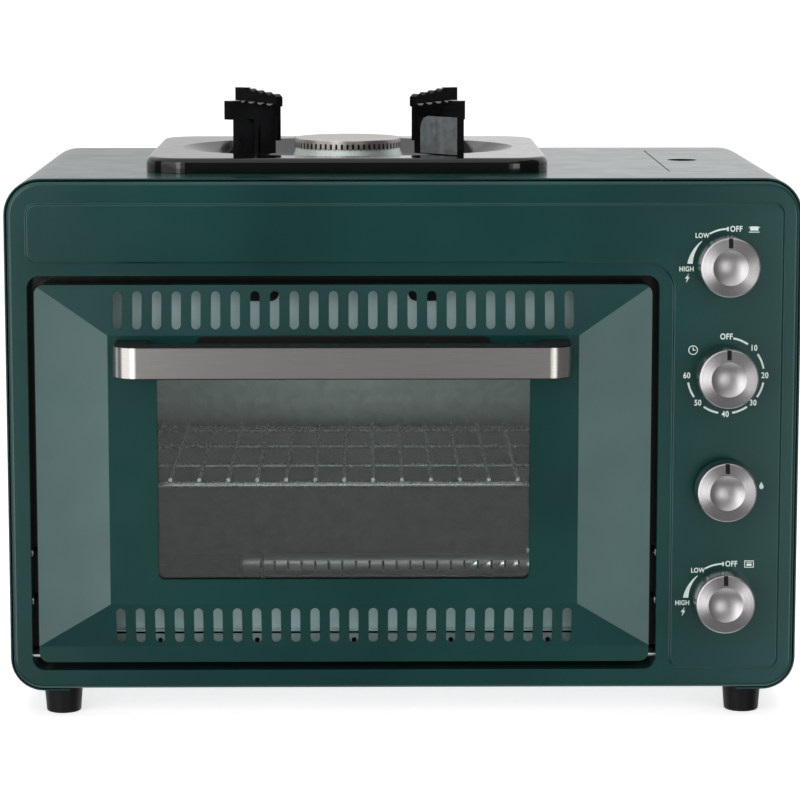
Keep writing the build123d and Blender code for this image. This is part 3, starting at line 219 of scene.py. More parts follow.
# %% [markdown]
# ## Bare metals
# A belt grinder leaves stainless steel with lines that run one way: noise pulled out 60 times along X makes them.
# Galvanised and aluminised sheet is duller and has large soft spangles. A metal takes its colour from its
# reflections, so its base colour is light and its IOR is left alone.

# %% Brushed, coated, cast and drawn metals
def brushed_metal(name, dark, light, rough, along):
    """Ground metal; along is how far the grinding lines are pulled out on X, Y and Z."""
    finish, tree, surface, place = new_finish(name, Metallic=1.0)
    lines = grain(tree, place, 0.2 * mm, 3.0, along)
    tree.links.new(tint(tree, vary(tree, lines, 0, 1), dark, light), surface.inputs["Base Color"])
    tree.links.new(vary(tree, lines, rough - 0.06, rough + 0.08), surface.inputs["Roughness"])
    relief(tree, surface, lines, 0.005 * mm)
    return finish


def upright_brushed_metal():
    """Brushed strip whose lines run level round its bends, so light smears up and down it and stays crisp across."""
    finish, tree, surface, place = new_finish("stainless_steel_strip", Metallic=1.0, Roughness=0.31, Anisotropic=0.8)
    lines = grain(tree, place, 0.3 * mm, 2.0, (80, 80, 1))
    tree.links.new(tint(tree, vary(tree, lines, 0, 1), "#C9C5C1", "#D6D3D0"), surface.inputs["Base Color"])
    upwards = add_node(tree, "ShaderNodeCombineXYZ", {"X": 0.05, "Y": 0.03, "Z": 1.0})
    tree.links.new(upwards.outputs["Vector"], surface.inputs["Tangent"])
    relief(tree, surface, lines, 0.003 * mm)
    return finish


def coated_sheet(name, dark, light, rough, spangle):
    """Zinc or aluminium coated sheet, whose crystals are about spangle across."""
    finish, tree, surface, place = new_finish(name, Metallic=1.0)
    cells = add_node(tree, "ShaderNodeTexVoronoi", {"Vector": place, "Scale": 1 / spangle})
    tree.links.new(tint(tree, cells.outputs["Color"], dark, light), surface.inputs["Base Color"])
    tree.links.new(vary(tree, grain(tree, place, spangle), rough - 0.05, rough + 0.08), surface.inputs["Roughness"])
    relief(tree, surface, grain(tree, place, 3 * mm), 0.01 * mm)
    return finish


def sooted_sheet():
    """Aluminised sheet of an oven's walls, with painted shade that makes it darker towards the burner on its floor."""
    finish, tree, surface, place = new_finish("aluminised_steel_sheet", Metallic=1.0)
    # Painted shade: the sheet's colour darkens from the upper height down to the lower one and stays dark below it.
    shade_top, unshaded_from = 148 * mm, 166 * mm
    height = add_node(tree, "ShaderNodeSeparateXYZ", {"Vector": place}).outputs["Z"]
    unshaded = add_node(tree, "ShaderNodeMapRange", {"Value": height, "From Min": shade_top, "From Max": unshaded_from})
    cells = add_node(tree, "ShaderNodeTexVoronoi", {"Vector": place, "Scale": 1 / (5 * mm)}).outputs["Color"]
    pale = add_node(tree, "ShaderNodeMix", {"Factor": unshaded.outputs["Result"]}, data_type="RGBA")
    tree.links.new(tint(tree, cells, "#484D4B", "#545956"), pale.inputs[6])
    tree.links.new(tint(tree, cells, "#8C9A94", "#9CAAA4"), pale.inputs[7])
    tree.links.new(pale.outputs[2], surface.inputs["Base Color"])
    tree.links.new(vary(tree, grain(tree, place, 5 * mm), 0.37, 0.5), surface.inputs["Roughness"])
    relief(tree, surface, grain(tree, place, 3 * mm), 0.01 * mm)
    return finish


def plain_metal(name, dark, light, rough, grit, depth):
    """Cast, turned or drawn metal with grit-sized marks of the given depth."""
    finish, tree, surface, place = new_finish(name, Metallic=1.0)
    marks = grain(tree, place, grit)
    tree.links.new(tint(tree, vary(tree, marks, 0, 1), dark, light), surface.inputs["Base Color"])
    tree.links.new(vary(tree, marks, rough - 0.04, rough + 0.06), surface.inputs["Roughness"])
    relief(tree, surface, marks, depth)
    return finish


# %% [markdown]
# ## Spun knob aluminium
# The knobs' faces are turned on a lathe, so light glints from them in two fans that meet at the middle.
# An anisotropic shader does that when its tangent runs round the knob's axis: the vector from the axis
# to the point, crossed with the axis. All four knobs share one column, so each has its own height as a centre.

# %% Satin turned aluminium, one for each knob's centre
def turned_aluminium(name, centre):
    """Lathe lines round a knob's axis; its sunk middle, up to dish_edge, is left rougher than the ring round it."""
    dish_edge, line_pitch = 10.7 * mm, 0.5 * mm
    finish, tree, surface, place = new_finish(name, Metallic=1.0, Anisotropic=0.2)
    arm = add_node(tree, "ShaderNodeMapping", {"Vector": place, "Location": [-c for c in centre]})
    tangent = add_node(
        tree, "ShaderNodeVectorMath", {0: arm.outputs["Vector"], 1: (0, 1, 0)}, operation="CROSS_PRODUCT"
    ).outputs["Vector"]
    tree.links.new(tangent, surface.inputs["Tangent"])
    radius = add_node(tree, "ShaderNodeVectorMath", {0: tangent}, operation="LENGTH").outputs["Value"]
    lines = add_node(
        tree, "ShaderNodeTexNoise", {"W": radius, "Scale": 1 / line_pitch}, noise_dimensions="1D"
    ).outputs["Fac"]
    tree.links.new(tint(tree, vary(tree, lines, 0, 1), "#B4B0B2", "#C6C3C4"), surface.inputs["Base Color"])
    roughness = add_node(
        tree, "ShaderNodeMapRange",
        {"Value": radius, "From Min": dish_edge, "From Max": dish_edge + 0.4 * mm, "To Min": 0.38, "To Max": 0.26},
    )
    tree.links.new(roughness.outputs["Result"], surface.inputs["Roughness"])
    relief(tree, surface, lines, 0.004 * mm)
    return finish


# %% [markdown]
# ## Oven glass
# The window is a 4 mm pane of clear toughened glass. Light has to reach the oven behind it, and a path tracer finds
# no lamp through real glass, so the shader lets shadow rays pass straight through.

# %% Toughened window glass
def window_glass():
    finish, tree, surface, place = new_finish(
        "toughened_glass_clear", Roughness=0.0, IOR=1.5, Transmission_Weight=1.0, Base_Color=linear("#E6ECEA")
    )
    relief(tree, surface, grain(tree, place, 60 * mm, 0.0), 0.004 * mm)
    passing = add_node(tree, "ShaderNodeBsdfTransparent", {"Color": linear("#DCE3E1")})
    ray = add_node(tree, "ShaderNodeLightPath")
    mix = add_node(
        tree, "ShaderNodeMixShader",
        {0: ray.outputs["Is Shadow Ray"], 1: surface.outputs["BSDF"], 2: passing.outputs["BSDF"]},
    )
    tree.links.new(mix.outputs["Shader"], tree.nodes["Material Output"].inputs["Surface"])
    return finish


# %% [markdown]
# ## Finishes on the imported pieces
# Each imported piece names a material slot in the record. A table from slot to finish dresses them all at once.
# The knobs, which need their own centre, come after it, and so do four pieces whose metal or paint differs a little
# from the rest of their slot: the door's inner sheet, the handle's strip, the oven burner's tube and the rack.

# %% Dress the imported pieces
finishes = {
    "green_painted_steel": green_enamel_paint(),
    "black_enamel": black_vitreous_enamel(),
    "cast_iron_black": painted_cast_iron(),
    "black_plastic": moulded_plastic("glass_filled_nylon_black", "#060608", "#0B0B0D"),
    "timer_plastic": moulded_plastic("nylon_cream", "#CFCABC", "#DDD8CB"),
    "white_ceramic": unglazed_ceramic(),
    "brushed_stainless": brushed_metal("stainless_steel_brushed", "#BDB9B5", "#CCC8C4", 0.34, (80, 1, 1)),
    "galvanised_steel": coated_sheet("galvanised_steel_sheet", "#A4A8AA", "#BDC1C2", 0.4, 9 * mm),
    "aluminised_liner": sooted_sheet(),
    "bright_steel": plain_metal("chromed_steel_wire", "#B9B9BB", "#CFCFD0", 0.16, 1.5 * mm, 0.004 * mm),
    "cast_aluminium": plain_metal("cast_aluminium_grey", "#B9C6C1", "#CCD6D2", 0.44, 0.9 * mm, 0.03 * mm),
    "brass": plain_metal("brass_turned", "#A5884C", "#C2A566", 0.26, 1 * mm, 0.006 * mm),
    "window_glass": window_glass(),
}
for part in frame["record"]["subparts"]:
    if part["material_slot"] in finishes:
        frame["nodes"][part["node"]].material_slots[0].material = finishes[part["material_slot"]]
primer = grey_green_primer()
own_finishes = {
    "door_inner_panel": primer,
    "handle_bar": upright_brushed_metal(),
    "oven_burner_tube": brushed_metal("stainless_steel_tube", "#B6BAB8", "#C8CCCA", 0.34, (80, 1, 1)),
    "oven_rack": plain_metal("plated_steel_wire_dull", "#8C9090", "#9EA2A2", 0.24, 1.5 * mm, 0.004 * mm),
}
for name in controls:
    own_finishes[name] = turned_aluminium("satin_aluminium_" + name, middle(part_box(name)))
for name, finish in own_finishes.items():
    frame["nodes"][name].material_slots[0].material = finish
print("finishes:", len(bpy.data.materials))

# %% [markdown]
# ## Printed scales
# The dials' scales are screen printed on the control panel in a pale mint ink, about 0.05 mm thick.
# Print is modelled here as thin flat pieces just proud of the panel, because the camera never needs its edge.
# A helper lifts any flat shape, drawn in millimetres round a dial's centre, on to the panel.

# %% Ink and a place for each dial
ink, ink_tree, ink_surface, ink_place = new_finish("screen_print_ink_mint", Roughness=0.45, IOR=1.5)
ink_wear = vary(ink_tree, grain(ink_tree, ink_place, 1.2 * mm), 0, 1)
ink_tree.links.new(tint(ink_tree, ink_wear, "#CBDAD4", "#DCE8E3"), ink_surface.inputs["Base Color"])
ink_thickness = 0.05 * mm
panel_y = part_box("front_fascia")[0].y
dials = {}
for name in controls:
    knob_middle = middle(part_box(name))
    dials[name] = Vector((knob_middle.x, panel_y, knob_middle.z))
print({name: [round(c / mm, 1) for c in centre] for name, centre in dials.items()})


def print_on_panel(mesh, name, dial, at=(0, 0)):
    """Stands a flat mesh up on the panel, at mm to the right of and above a dial's centre, and rides it there."""
    spot = dials[dial] + Vector((at[0] * mm, -ink_thickness, at[1] * mm))
    mesh.transform(Matrix.Translation(spot) @ Matrix.Rotation(math.pi / 2, 4, "X") @ Matrix.Scale(mm, 4))
    mesh.materials.clear()
    mesh.materials.append(ink)
    piece = put(name, mesh)
    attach(piece, "oven_body")


# %% [markdown]
# ## Scale arcs with Geometry Nodes
# The timer's ring is one short arc repeated between the numbers, and each gas tap has a thin arc from off to low.
# One node tree draws them all: an arc as a curve, a thin strip swept along it, copies of it turned about the centre,
# then Realize Instances and Set Material. Its named inputs are sizes, so another dial is only other numbers.

# %% A node tree that draws a dial's arcs
def arc_tree():
    """An arc swept into a strip, copied at even steps round the origin."""
    tree = bpy.data.node_groups.new("dial arcs", "GeometryNodeTree")
    tree.interface.new_socket("Geometry", in_out="OUTPUT", socket_type="NodeSocketGeometry")
    for name in ("Radius", "Start Angle", "Sweep", "Step", "Width", "Thickness"):
        tree.interface.new_socket(name, in_out="INPUT", socket_type="NodeSocketFloat")
    tree.interface.new_socket("Count", in_out="INPUT", socket_type="NodeSocketInt")
    tree.interface.new_socket("Ink", in_out="INPUT", socket_type="NodeSocketMaterial")
    given = add_node(tree, "NodeGroupInput").outputs
    arc = add_node(
        tree, "GeometryNodeCurveArc",
        {
            "Resolution": 24, "Radius": given["Radius"],
            "Start Angle": given["Start Angle"], "Sweep Angle": given["Sweep"],
        },
    )
    strip = add_node(
        tree, "GeometryNodeCurvePrimitiveQuadrilateral", {"Width": given["Width"], "Height": given["Thickness"]}
    )
    swept = add_node(
        tree, "GeometryNodeCurveToMesh",
        {"Curve": arc.outputs["Curve"], "Profile Curve": strip.outputs["Curve"], "Fill Caps": True},
    )
    points = add_node(tree, "GeometryNodePoints", {"Count": given["Count"]})
    number = add_node(tree, "GeometryNodeInputIndex")
    angle = add_node(tree, "ShaderNodeMath", {0: number.outputs["Index"], 1: given["Step"]}, operation="MULTIPLY")
    turn = add_node(tree, "ShaderNodeCombineXYZ", {"Z": angle.outputs["Value"]})
    copies = add_node(
        tree, "GeometryNodeInstanceOnPoints",
        {"Points": points.outputs["Points"], "Instance": swept.outputs["Mesh"], "Rotation": turn.outputs["Vector"]},
    )
    real = add_node(tree, "GeometryNodeRealizeInstances", {"Geometry": copies.outputs["Instances"]})
    inked = add_node(
        tree, "GeometryNodeSetMaterial", {"Geometry": real.outputs["Geometry"], "Material": given["Ink"]}
    )
    add_node(tree, "NodeGroupOutput", {"Geometry": inked.outputs["Geometry"]})
    return tree


def run_tree(tree, inputs, places=()):
    """Runs a tree on loose points with its named inputs and returns the result as a plain mesh."""
    start = bpy.data.meshes.new("holder")
    start.from_pydata(places, [], [])
    holder = put("holder", start)
    modifier = holder.modifiers.new("tree", "NODES")
    modifier.node_group = tree
    sockets = {s.name: s.identifier for s in tree.interface.items_tree if s.in_out == "INPUT"}
    for name, value in inputs.items():
        modifier[sockets[name]] = value
    holder.update_tag()
    seen = holder.evaluated_get(bpy.context.evaluated_depsgraph_get())
    mesh = bpy.data.meshes.new_from_object(seen)
    holder.modifiers.remove(modifier)
    bpy.data.objects.remove(holder)
    return mesh


# %% The timer's ring and the taps' thin arcs
arcs = arc_tree()
twelve_o_clock = 90
ten_minutes, after_number, between_numbers = 45, 10.5, 24
ring = {
    "Radius": 24.0, "Width": 1.3, "Thickness": 0.05, "Count": 6, "Ink": ink,
    "Start Angle": math.radians(twelve_o_clock - after_number),
    "Sweep": math.radians(-between_numbers),
    "Step": math.radians(-ten_minutes),
}
print_on_panel(run_tree(arcs, ring), "timer_scale_arcs", "timer_knob")
tap_arc = {
    "Radius": 22.6, "Width": 1.1, "Thickness": 0.05, "Count": 1, "Ink": ink,
    "Start Angle": math.radians(twelve_o_clock + 1), "Sweep": math.radians(29), "Step": 0.0,
}
for name in ("stove_knob", "oven_knob"):
    print_on_panel(run_tree(arcs, tap_arc), name.replace("knob", "low_arc"), name)

# %% [markdown]
# ## Numbers, words and small pictures
# The digits and the words are Blender text in its built-in face, turned into a mesh before it is placed.
# The pictures are drawn as polygons in millimetres: a wedge that grows from low to high, a spark, a clock,
# a flame, a pot on a hob and an oven door. Only generic signs are printed: numbers, off, low and high.

# %% Helpers for flat text and flat polygons
def flat_text(words, height):
    """Narrow, slightly bold text whose capitals are height mm tall, centred on the origin, as a mesh."""
    capital_share, bolder, letter_gap, narrower = 0.7, 0.035, 1.08, 0.84
    letters = bpy.data.curves.new("letters", "FONT")
    letters.body = words
    letters.size = height / capital_share
    letters.align_x = "CENTER"
    letters.align_y = "CENTER"
    letters.offset = bolder * height
    letters.space_character = letter_gap
    letters.resolution_u = 4
    holder = put("letters", letters)
    mesh = bpy.data.meshes.new_from_object(holder.evaluated_get(bpy.context.evaluated_depsgraph_get()))
    bpy.data.objects.remove(holder)
    mesh.transform(Matrix.Diagonal((narrower, 1, 1, 1)))
    return mesh


def flat_shapes(*outlines):
    """Closed outlines, lists of (x, y) in mm that run anticlockwise, as the faces of one mesh."""
    sheet = bmesh.new()
    for outline in outlines:
        sheet.faces.new([sheet.verts.new((x, y, 0)) for x, y in outline])
    bmesh.ops.triangulate(sheet, faces=sheet.faces)
    bmesh.ops.recalc_face_normals(sheet, faces=sheet.faces)
    mesh = bpy.data.meshes.new("shapes")
    sheet.to_mesh(mesh)
    sheet.free()
    if mesh.polygons[0].normal.z < 0:
        mesh.flip_normals()
    return mesh


def rectangle(left, bottom, right, top):
    """The outline of an upright rectangle."""
    return [(left, bottom), (right, bottom), (right, top), (left, top)]


def ring_points(radius, start, end, count=16, centre=(0, 0)):
    """Points on an arc in degrees, anticlockwise from the right."""
    angles = [math.radians(start + (end - start) * i / (count - 1)) for i in range(count)]
    return [(centre[0] + radius * math.cos(a), centre[1] + radius * math.sin(a)) for a in angles]


def strip_between(low, high):
    """The quads between two rows of points."""
    return [[low[i], high[i], high[i + 1], low[i + 1]] for i in range(len(low) - 1)]


# %% The timer's numbers
number_radius, number_height = 24.6, 3.6
for minutes in (0, 10, 20, 30, 40, 50, 60):
    angle = math.radians(twelve_o_clock - minutes / 10 * ten_minutes)
    spot = (number_radius * math.cos(angle), number_radius * math.sin(angle))
    words = str(minutes) if minutes else "OFF"
    print_on_panel(flat_text(words, number_height), "timer_mark_" + words.lower(), "timer_knob", spot)

# %% Off, low and high on the two gas taps, with the wedge that grows between them
wedge_radius, low_angle, high_angle, wedge_steps = 21.8, 137, 178, 15
thin_end, thickening = 0.4, 3.0
wedge_outer = []
for i in range(wedge_steps + 1):
    radius = wedge_radius + thin_end + thickening * i / wedge_steps
    angle = math.radians(low_angle + (high_angle - low_angle) * i / wedge_steps)
    wedge_outer.append((radius * math.cos(angle), radius * math.sin(angle)))
wedge = strip_between(ring_points(wedge_radius, low_angle, high_angle, wedge_steps + 1), wedge_outer)
off_tick = rectangle(-0.5, 21.2, 0.5, 23.9)
spark = [(0.9, 3.0), (-1.5, -0.3), (-0.1, -0.3), (-0.9, -3.0), (1.5, 0.5), (0.1, 0.5)]
tap_words = {"OFF": (3.5, (5.2, 22.5)), "LOW": (3.0, (-16.0, 18.4)), "HIGH": (3.0, (-25.6, -2.6))}
for name in ("stove_knob", "oven_knob"):
    tap = name.replace("knob", "")
    print_on_panel(flat_shapes(*wedge, off_tick), tap + "flame_wedge", name)
    for words, (height, spot) in tap_words.items():
        print_on_panel(flat_text(words, height), tap + "mark_" + words.lower(), name, spot)
    print_on_panel(flat_shapes(spark), tap + "mark_spark", name, (-25.0, -8.2))

# %% Signs for the stove, the oven, the flame and the clock
clock_hands = [rectangle(-0.25, -0.25, 0.25, 1.9), rectangle(0.25, -0.25, 1.5, 0.25)]
clock = strip_between(ring_points(2.5, 0, 360, 24), ring_points(3.0, 0, 360, 24)) + clock_hands
flame = [[(0, 2.6), (-0.9, 1.1), (-1.5, -0.4), (-1.1, -1.7), (0, -2.3), (1.1, -1.7), (1.5, -0.4), (0.8, 0.7)]]
pot_on_hob = [
    rectangle(-2.6, -0.9, 2.6, 1.7), rectangle(-3.5, 0.8, -2.9, 1.4),
    rectangle(2.9, 0.8, 3.5, 1.4), rectangle(-3.3, -2.1, 3.3, -1.6),
]
oven_front = [
    rectangle(-3, -2.3, 3, -1.8), rectangle(-3, 1.8, 3, 2.3), rectangle(-3, -1.8, -2.5, 1.8),
    rectangle(2.5, -1.8, 3, 1.8), rectangle(-1.8, 0.9, 1.8, 1.3), rectangle(-1.6, -1.2, 1.6, 0.3),
]
print_on_panel(flat_shapes(*clock), "sign_clock", "timer_knob", (-20.8, 16.2))
print_on_panel(flat_shapes(*flame), "sign_flame", "safety_button", (23.6, 1.5))
print_on_panel(flat_shapes(*pot_on_hob), "sign_stove", "stove_knob", (16.5, 22.5))
print_on_panel(flat_shapes(*oven_front), "sign_oven", "oven_knob", (16.5, 22.5))

# %% [markdown]
# ## Screw heads with Geometry Nodes
# The visible screws are alike: a low domed head with a cross recess. One head is modelled once as a small
# mesh, and a node tree puts a copy on each place of a list and turns it to face outwards. The imported model has
# plain discs at the same places, which these replace.

# %% One cross-recess screw head
def cross_recess_head(radius, height):
    """A domed head on the XY plane that faces +Z, with a cross sunk into its top."""
    rings, corners, dome_share, rim_share = 6, 32, 0.93, 0.25
    half_slot, slot_reach, slot_depth = 0.13 * radius, 0.55 * radius, 0.45 * height
    head = bmesh.new()
    rows = []
    for ring in range(rings):
        climb = ring / (rings - 1) * math.pi / 2
        r = radius * math.cos(climb * dome_share)
        z = height * (rim_share + (1 - rim_share) * math.sin(climb))
        rows.append([head.verts.new((r * math.cos(a), r * math.sin(a), z))
                     for a in (2 * math.pi * i / corners for i in range(corners))])
    foot = [head.verts.new((v.co.x, v.co.y, 0)) for v in rows[0]]
    for lower, upper in zip([foot] + rows[:-1], rows):
        for i in range(corners):
            head.faces.new([lower[i], lower[(i + 1) % corners], upper[(i + 1) % corners], upper[i]])
    head.faces.new(rows[-1])
    head.faces.new(list(reversed(foot)))
    mesh = bpy.data.meshes.new("screw head")
    head.to_mesh(mesh)
    head.free()
    cutter = bmesh.new()
    for turn in (0, math.pi / 2):
        size = Matrix.Diagonal((2 * slot_reach, 2 * half_slot, 2 * slot_depth, 1))
        place = Matrix.Translation((0, 0, height)) @ Matrix.Rotation(turn, 4, "Z") @ size
        bmesh.ops.create_cube(cutter, size=1, matrix=place)
    cross = bpy.data.meshes.new("cross")
    cutter.to_mesh(cross)
    cutter.free()
    solid, tool = put("screw head", mesh), put("cross", cross)
    cut = solid.modifiers.new("cross", "BOOLEAN")
    cut.object, cut.operation, cut.solver, cut.use_self = tool, "DIFFERENCE", "EXACT", True
    finished = bpy.data.meshes.new_from_object(solid.evaluated_get(bpy.context.evaluated_depsgraph_get()))
    bpy.data.objects.remove(solid)
    bpy.data.objects.remove(tool)
    return finished


# %% A node tree that places them
def head_tree():
    """A copy of one head on each place, facing one way and spun at random about its own axis."""
    tree = bpy.data.node_groups.new("screw heads", "GeometryNodeTree")
    tree.interface.new_socket("Geometry", in_out="OUTPUT", socket_type="NodeSocketGeometry")
    tree.interface.new_socket("Places", in_out="INPUT", socket_type="NodeSocketGeometry")
    tree.interface.new_socket("Head", in_out="INPUT", socket_type="NodeSocketObject")
    tree.interface.new_socket("Facing", in_out="INPUT", socket_type="NodeSocketVector")
    tree.interface.new_socket("Spin Seed", in_out="INPUT", socket_type="NodeSocketInt")
    tree.interface.new_socket("Metal", in_out="INPUT", socket_type="NodeSocketMaterial")
    given = add_node(tree, "NodeGroupInput").outputs
    head = add_node(tree, "GeometryNodeObjectInfo", {"Object": given["Head"]})
    upright = add_node(tree, "FunctionNodeAlignRotationToVector", {"Vector": given["Facing"]}, axis="Z")
    spin = add_node(tree, "FunctionNodeRandomValue", {"Seed": given["Spin Seed"]}, data_type="FLOAT")
    about = add_node(tree, "FunctionNodeAxisAngleToRotation", {"Axis": (0, 0, 1), "Angle": spin.outputs[1]})
    turned = add_node(
        tree, "FunctionNodeRotateRotation",
        {"Rotation": upright.outputs["Rotation"], "Rotate By": about.outputs["Rotation"]}, rotation_space="LOCAL",
    )
    copies = add_node(
        tree, "GeometryNodeInstanceOnPoints",
        {"Points": given["Places"], "Instance": head.outputs["Geometry"], "Rotation": turned.outputs["Rotation"]},
    )
    real = add_node(tree, "GeometryNodeRealizeInstances", {"Geometry": copies.outputs["Instances"]})
    metal = add_node(
        tree, "GeometryNodeSetMaterial", {"Geometry": real.outputs["Geometry"], "Material": given["Metal"]}
    )
    add_node(tree, "NodeGroupOutput", {"Geometry": metal.outputs["Geometry"]})
    return tree


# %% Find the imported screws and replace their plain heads
def islands(node):
    """The boxes of a node's separate solids, sorted by place, because a set of vertices has no order of its own."""
    copy = bmesh.new()
    copy.from_mesh(frame["nodes"][node].data)
    bmesh.ops.remove_doubles(copy, verts=copy.verts, dist=1e-6)
    unseen, boxes = set(copy.verts), []
    while unseen:
        solid, edge_of_it = set(), [unseen.pop()]
        while edge_of_it:
            vertex = edge_of_it.pop()
            solid.add(vertex)
            linked = {e.other_vert(vertex) for e in vertex.link_edges} & unseen
            unseen -= linked
            edge_of_it.extend(linked)
        places = [v.co for v in solid]
        boxes.append((Vector(map(min, *places)), Vector(map(max, *places))))
    copy.free()
    return sorted(boxes, key=lambda box: [round(c / mm, 1) for c in middle(box)])


screws = head_tree()


def dress_screws(node, body, name, facings):
    """Replaces a node's plain heads; facings pairs a way to face with a rule on a solid's middle that picks them."""
    parts = bmesh.new()
    for facing, chosen in facings:
        boxes = [box for box in islands(node) if chosen(middle(box))]
        axis = max(range(3), key=lambda i: abs(facing[i]))
        across = (axis + 1) % 3
        size = boxes[0][1] - boxes[0][0]
        head = put("one head", cross_recess_head(size[across] / 2, size[axis]))
        spots = []
        for low, high in boxes:
            spot = middle((low, high))
            spot[axis] = low[axis] if facing[axis] > 0 else high[axis]
            spots.append(spot)
        inputs = {"Head": head, "Facing": facing, "Spin Seed": len(node), "Metal": finishes["bright_steel"]}
        parts.from_mesh(run_tree(screws, inputs, spots))
        bpy.data.objects.remove(head)
    mesh = bpy.data.meshes.new(name)
    parts.to_mesh(mesh)
    parts.free()
    mesh.materials.append(finishes["bright_steel"])
    piece = put(name, mesh)
    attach(piece, body)
    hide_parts(node)
    print(name, len(mesh.polygons), "faces")


dress_screws("recess_screws", "oven_body", "recess_screw_heads",
             [((1, 0, 0), lambda c: c.x < 0), ((-1, 0, 0), lambda c: c.x > 0)])
dress_screws("rear_screws", "oven_body", "rear_screw_heads", [((0, 1, 0), lambda c: True)])

# %% [markdown]
# ## Small parts in the shade
# Some things are too slight for the imported model. In each knob's index notch shows the black plastic under its
# aluminium cap. Black pieces in the slots of the burner cap and behind the oven burner's ports are painted shade for
# the dark inside them. The right pair of pot supports has a bare steel face on its cheek. Behind the door's lower
# slots runs a pale stiffening strip, and thin black pieces stand for the dark of its holes and of the two finger
# notches behind the upper slots.

# %% Helpers that add small solids from flat outlines
def slab(outline, place, thickness):
    """A flat outline of (x, y) in mm, made thickness mm deep along +Z and set down by a matrix, in a new bmesh."""
    solid = bmesh.new()
    low = [solid.verts.new((x, y, 0)) for x, y in outline]
    high = [solid.verts.new((x, y, thickness)) for x, y in outline]
    solid.faces.new(low)
    solid.faces.new(list(reversed(high)))
    for i in range(len(outline)):
        j = (i + 1) % len(outline)
        solid.faces.new([low[j], low[i], high[i], high[j]])
    bmesh.ops.recalc_face_normals(solid, faces=solid.faces)
    solid.transform(place @ Matrix.Scale(mm, 4))
    return solid


def add_piece(name, body, material, solids):
    """Joins solids into one new piece that rides a body."""
    mesh = bpy.data.meshes.new(name)
    whole = bmesh.new()
    for solid in solids:
        solid.to_mesh(mesh)
        solid.free()
        whole.from_mesh(mesh)
    whole.to_mesh(mesh)
    whole.free()
    mesh.materials.append(material)
    piece = put(name, mesh)
    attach(piece, body)
    print(name, len(mesh.polygons), "faces")


facing_camera = Matrix.Rotation(math.pi / 2, 4, "X")
sideways = Matrix.Rotation(math.pi / 2, 4, "Z") @ Matrix.Rotation(math.pi / 2, 4, "X")

# %% Black plastic in the knobs' index notches
index_width = 2.6
index_side = [(0.7, 12.5), (1.95, 17.6), (2.5, 18.3), (2.5, 12.5)]
for name, body in controls.items():
    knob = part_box(name)
    corner = Matrix.Translation((middle(knob).x - index_width / 2 * mm, knob[0].y, middle(knob).z))
    fill = slab(index_side, corner @ sideways, index_width)
    add_piece(name + "_index", body, finishes["black_plastic"], [fill])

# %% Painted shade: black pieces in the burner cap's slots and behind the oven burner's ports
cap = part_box("burner_cap")
slot_count, slot_height, above_foot = 60, 3.5, 0.05
cap_foot = Matrix.Translation((middle(cap).x, middle(cap).y, cap[0].z + above_foot * mm))
slot_floor = rectangle(32.6, -0.7, 34.7, 0.7)
slot_turns = [Matrix.Rotation(2 * math.pi * i / slot_count, 4, "Z") for i in range(slot_count)]
# Painted shade: a black slab stands in each slot for the dark inside it.
slot_shade = [slab(slot_floor, cap_foot @ turn, slot_height) for turn in slot_turns]
add_piece("burner_slot_soot", "oven_body", finishes["cast_iron_black"], slot_shade)

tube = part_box("oven_burner_tube")
behind_wall, half_port, end_gap, beyond_liner, shade_depth = 2.2, 3.2, 3, 10, 0.15
shade_end = (tube[1].x - tube[0].x) / mm - beyond_liner
behind_ports = Matrix.Translation((tube[0].x, tube[0].y + behind_wall * mm, middle(tube).z)) @ facing_camera
# Painted shade: a black strip behind the ports stands for the dark inside the tube.
port_shade = slab(rectangle(end_gap, -half_port, shade_end, half_port), behind_ports, shade_depth)
add_piece("burner_port_soot", "oven_body", finishes["cast_iron_black"], [port_shade])

# %% Bare steel faces on the right pair of pot supports
face_left, face_right, face_foot, face_top, face_round = -13.4, 19.4, 0.6, 24.6, 8.0
cheek_depth, face_thickness = 2.9, 0.15
cheek_out = Matrix.Translation((0, -cheek_depth * mm, 0)) @ facing_camera
round_corner = ring_points(face_round, 180, 90, 9, (face_left + face_round, face_top - face_round))
cheek_face = [(face_left, face_foot)] + round_corner + [(face_right, face_top), (face_right, face_foot)]
faces = []
for support in islands("pot_supports"):
    spot = middle(support)
    if spot.x > middle(cap).x:
        turn = -45 if spot.y < cap[0].y else 45
        place = Matrix.Translation((spot.x, spot.y, support[0].z)) @ Matrix.Rotation(math.radians(turn), 4, "Z")
        faces.append(slab(cheek_face, place @ cheek_out, face_thickness))
steel_face = plain_metal("steel_face_brushed", "#8F9698", "#9DA4A6", 0.36, 4 * mm, 0.002 * mm)
add_piece("support_faces", "pan", steel_face, faces)

# %% The strip behind the lower slots and the dark of its holes and of the two finger notches
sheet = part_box("door_inner_panel")
sheet_thickness = 1.0
sheet_face = sheet[1].y - sheet_thickness * mm
strip_foot, strip_top, strip_margin, strip_thickness = -11.5, -2.5, 4, 0.3
half_strip = (sheet[1].x - sheet[0].x) / 2 / mm - strip_margin
strip_place = Matrix.Translation((middle(sheet).x, sheet_face, sheet[0].z)) @ facing_camera
strip = slab(rectangle(-half_strip, strip_foot, half_strip, strip_top), strip_place, strip_thickness)
add_piece("door_strip", "door", primer, [strip])
slot_pitch, hole_level, hole_radius = 12.42, -6.9, 1.6
hole = ring_points(hole_radius, 0, 345, 24)
holes = []
for slots_from_middle in (-9.5, -4.5, 0.5, 5.5, 10.5):
    spot = Vector((slot_pitch * slots_from_middle, hole_level, strip_thickness)) * mm
    holes.append(slab(hole, strip_place @ Matrix.Translation(spot), 0.05))
notch_place = Matrix.Translation((middle(sheet).x, sheet_face, sheet[1].z)) @ facing_camera
notch_left, notch_right, notch_top, notch_foot, notch_round = -61.9, -40.9, -0.9, -11.0, 5.0
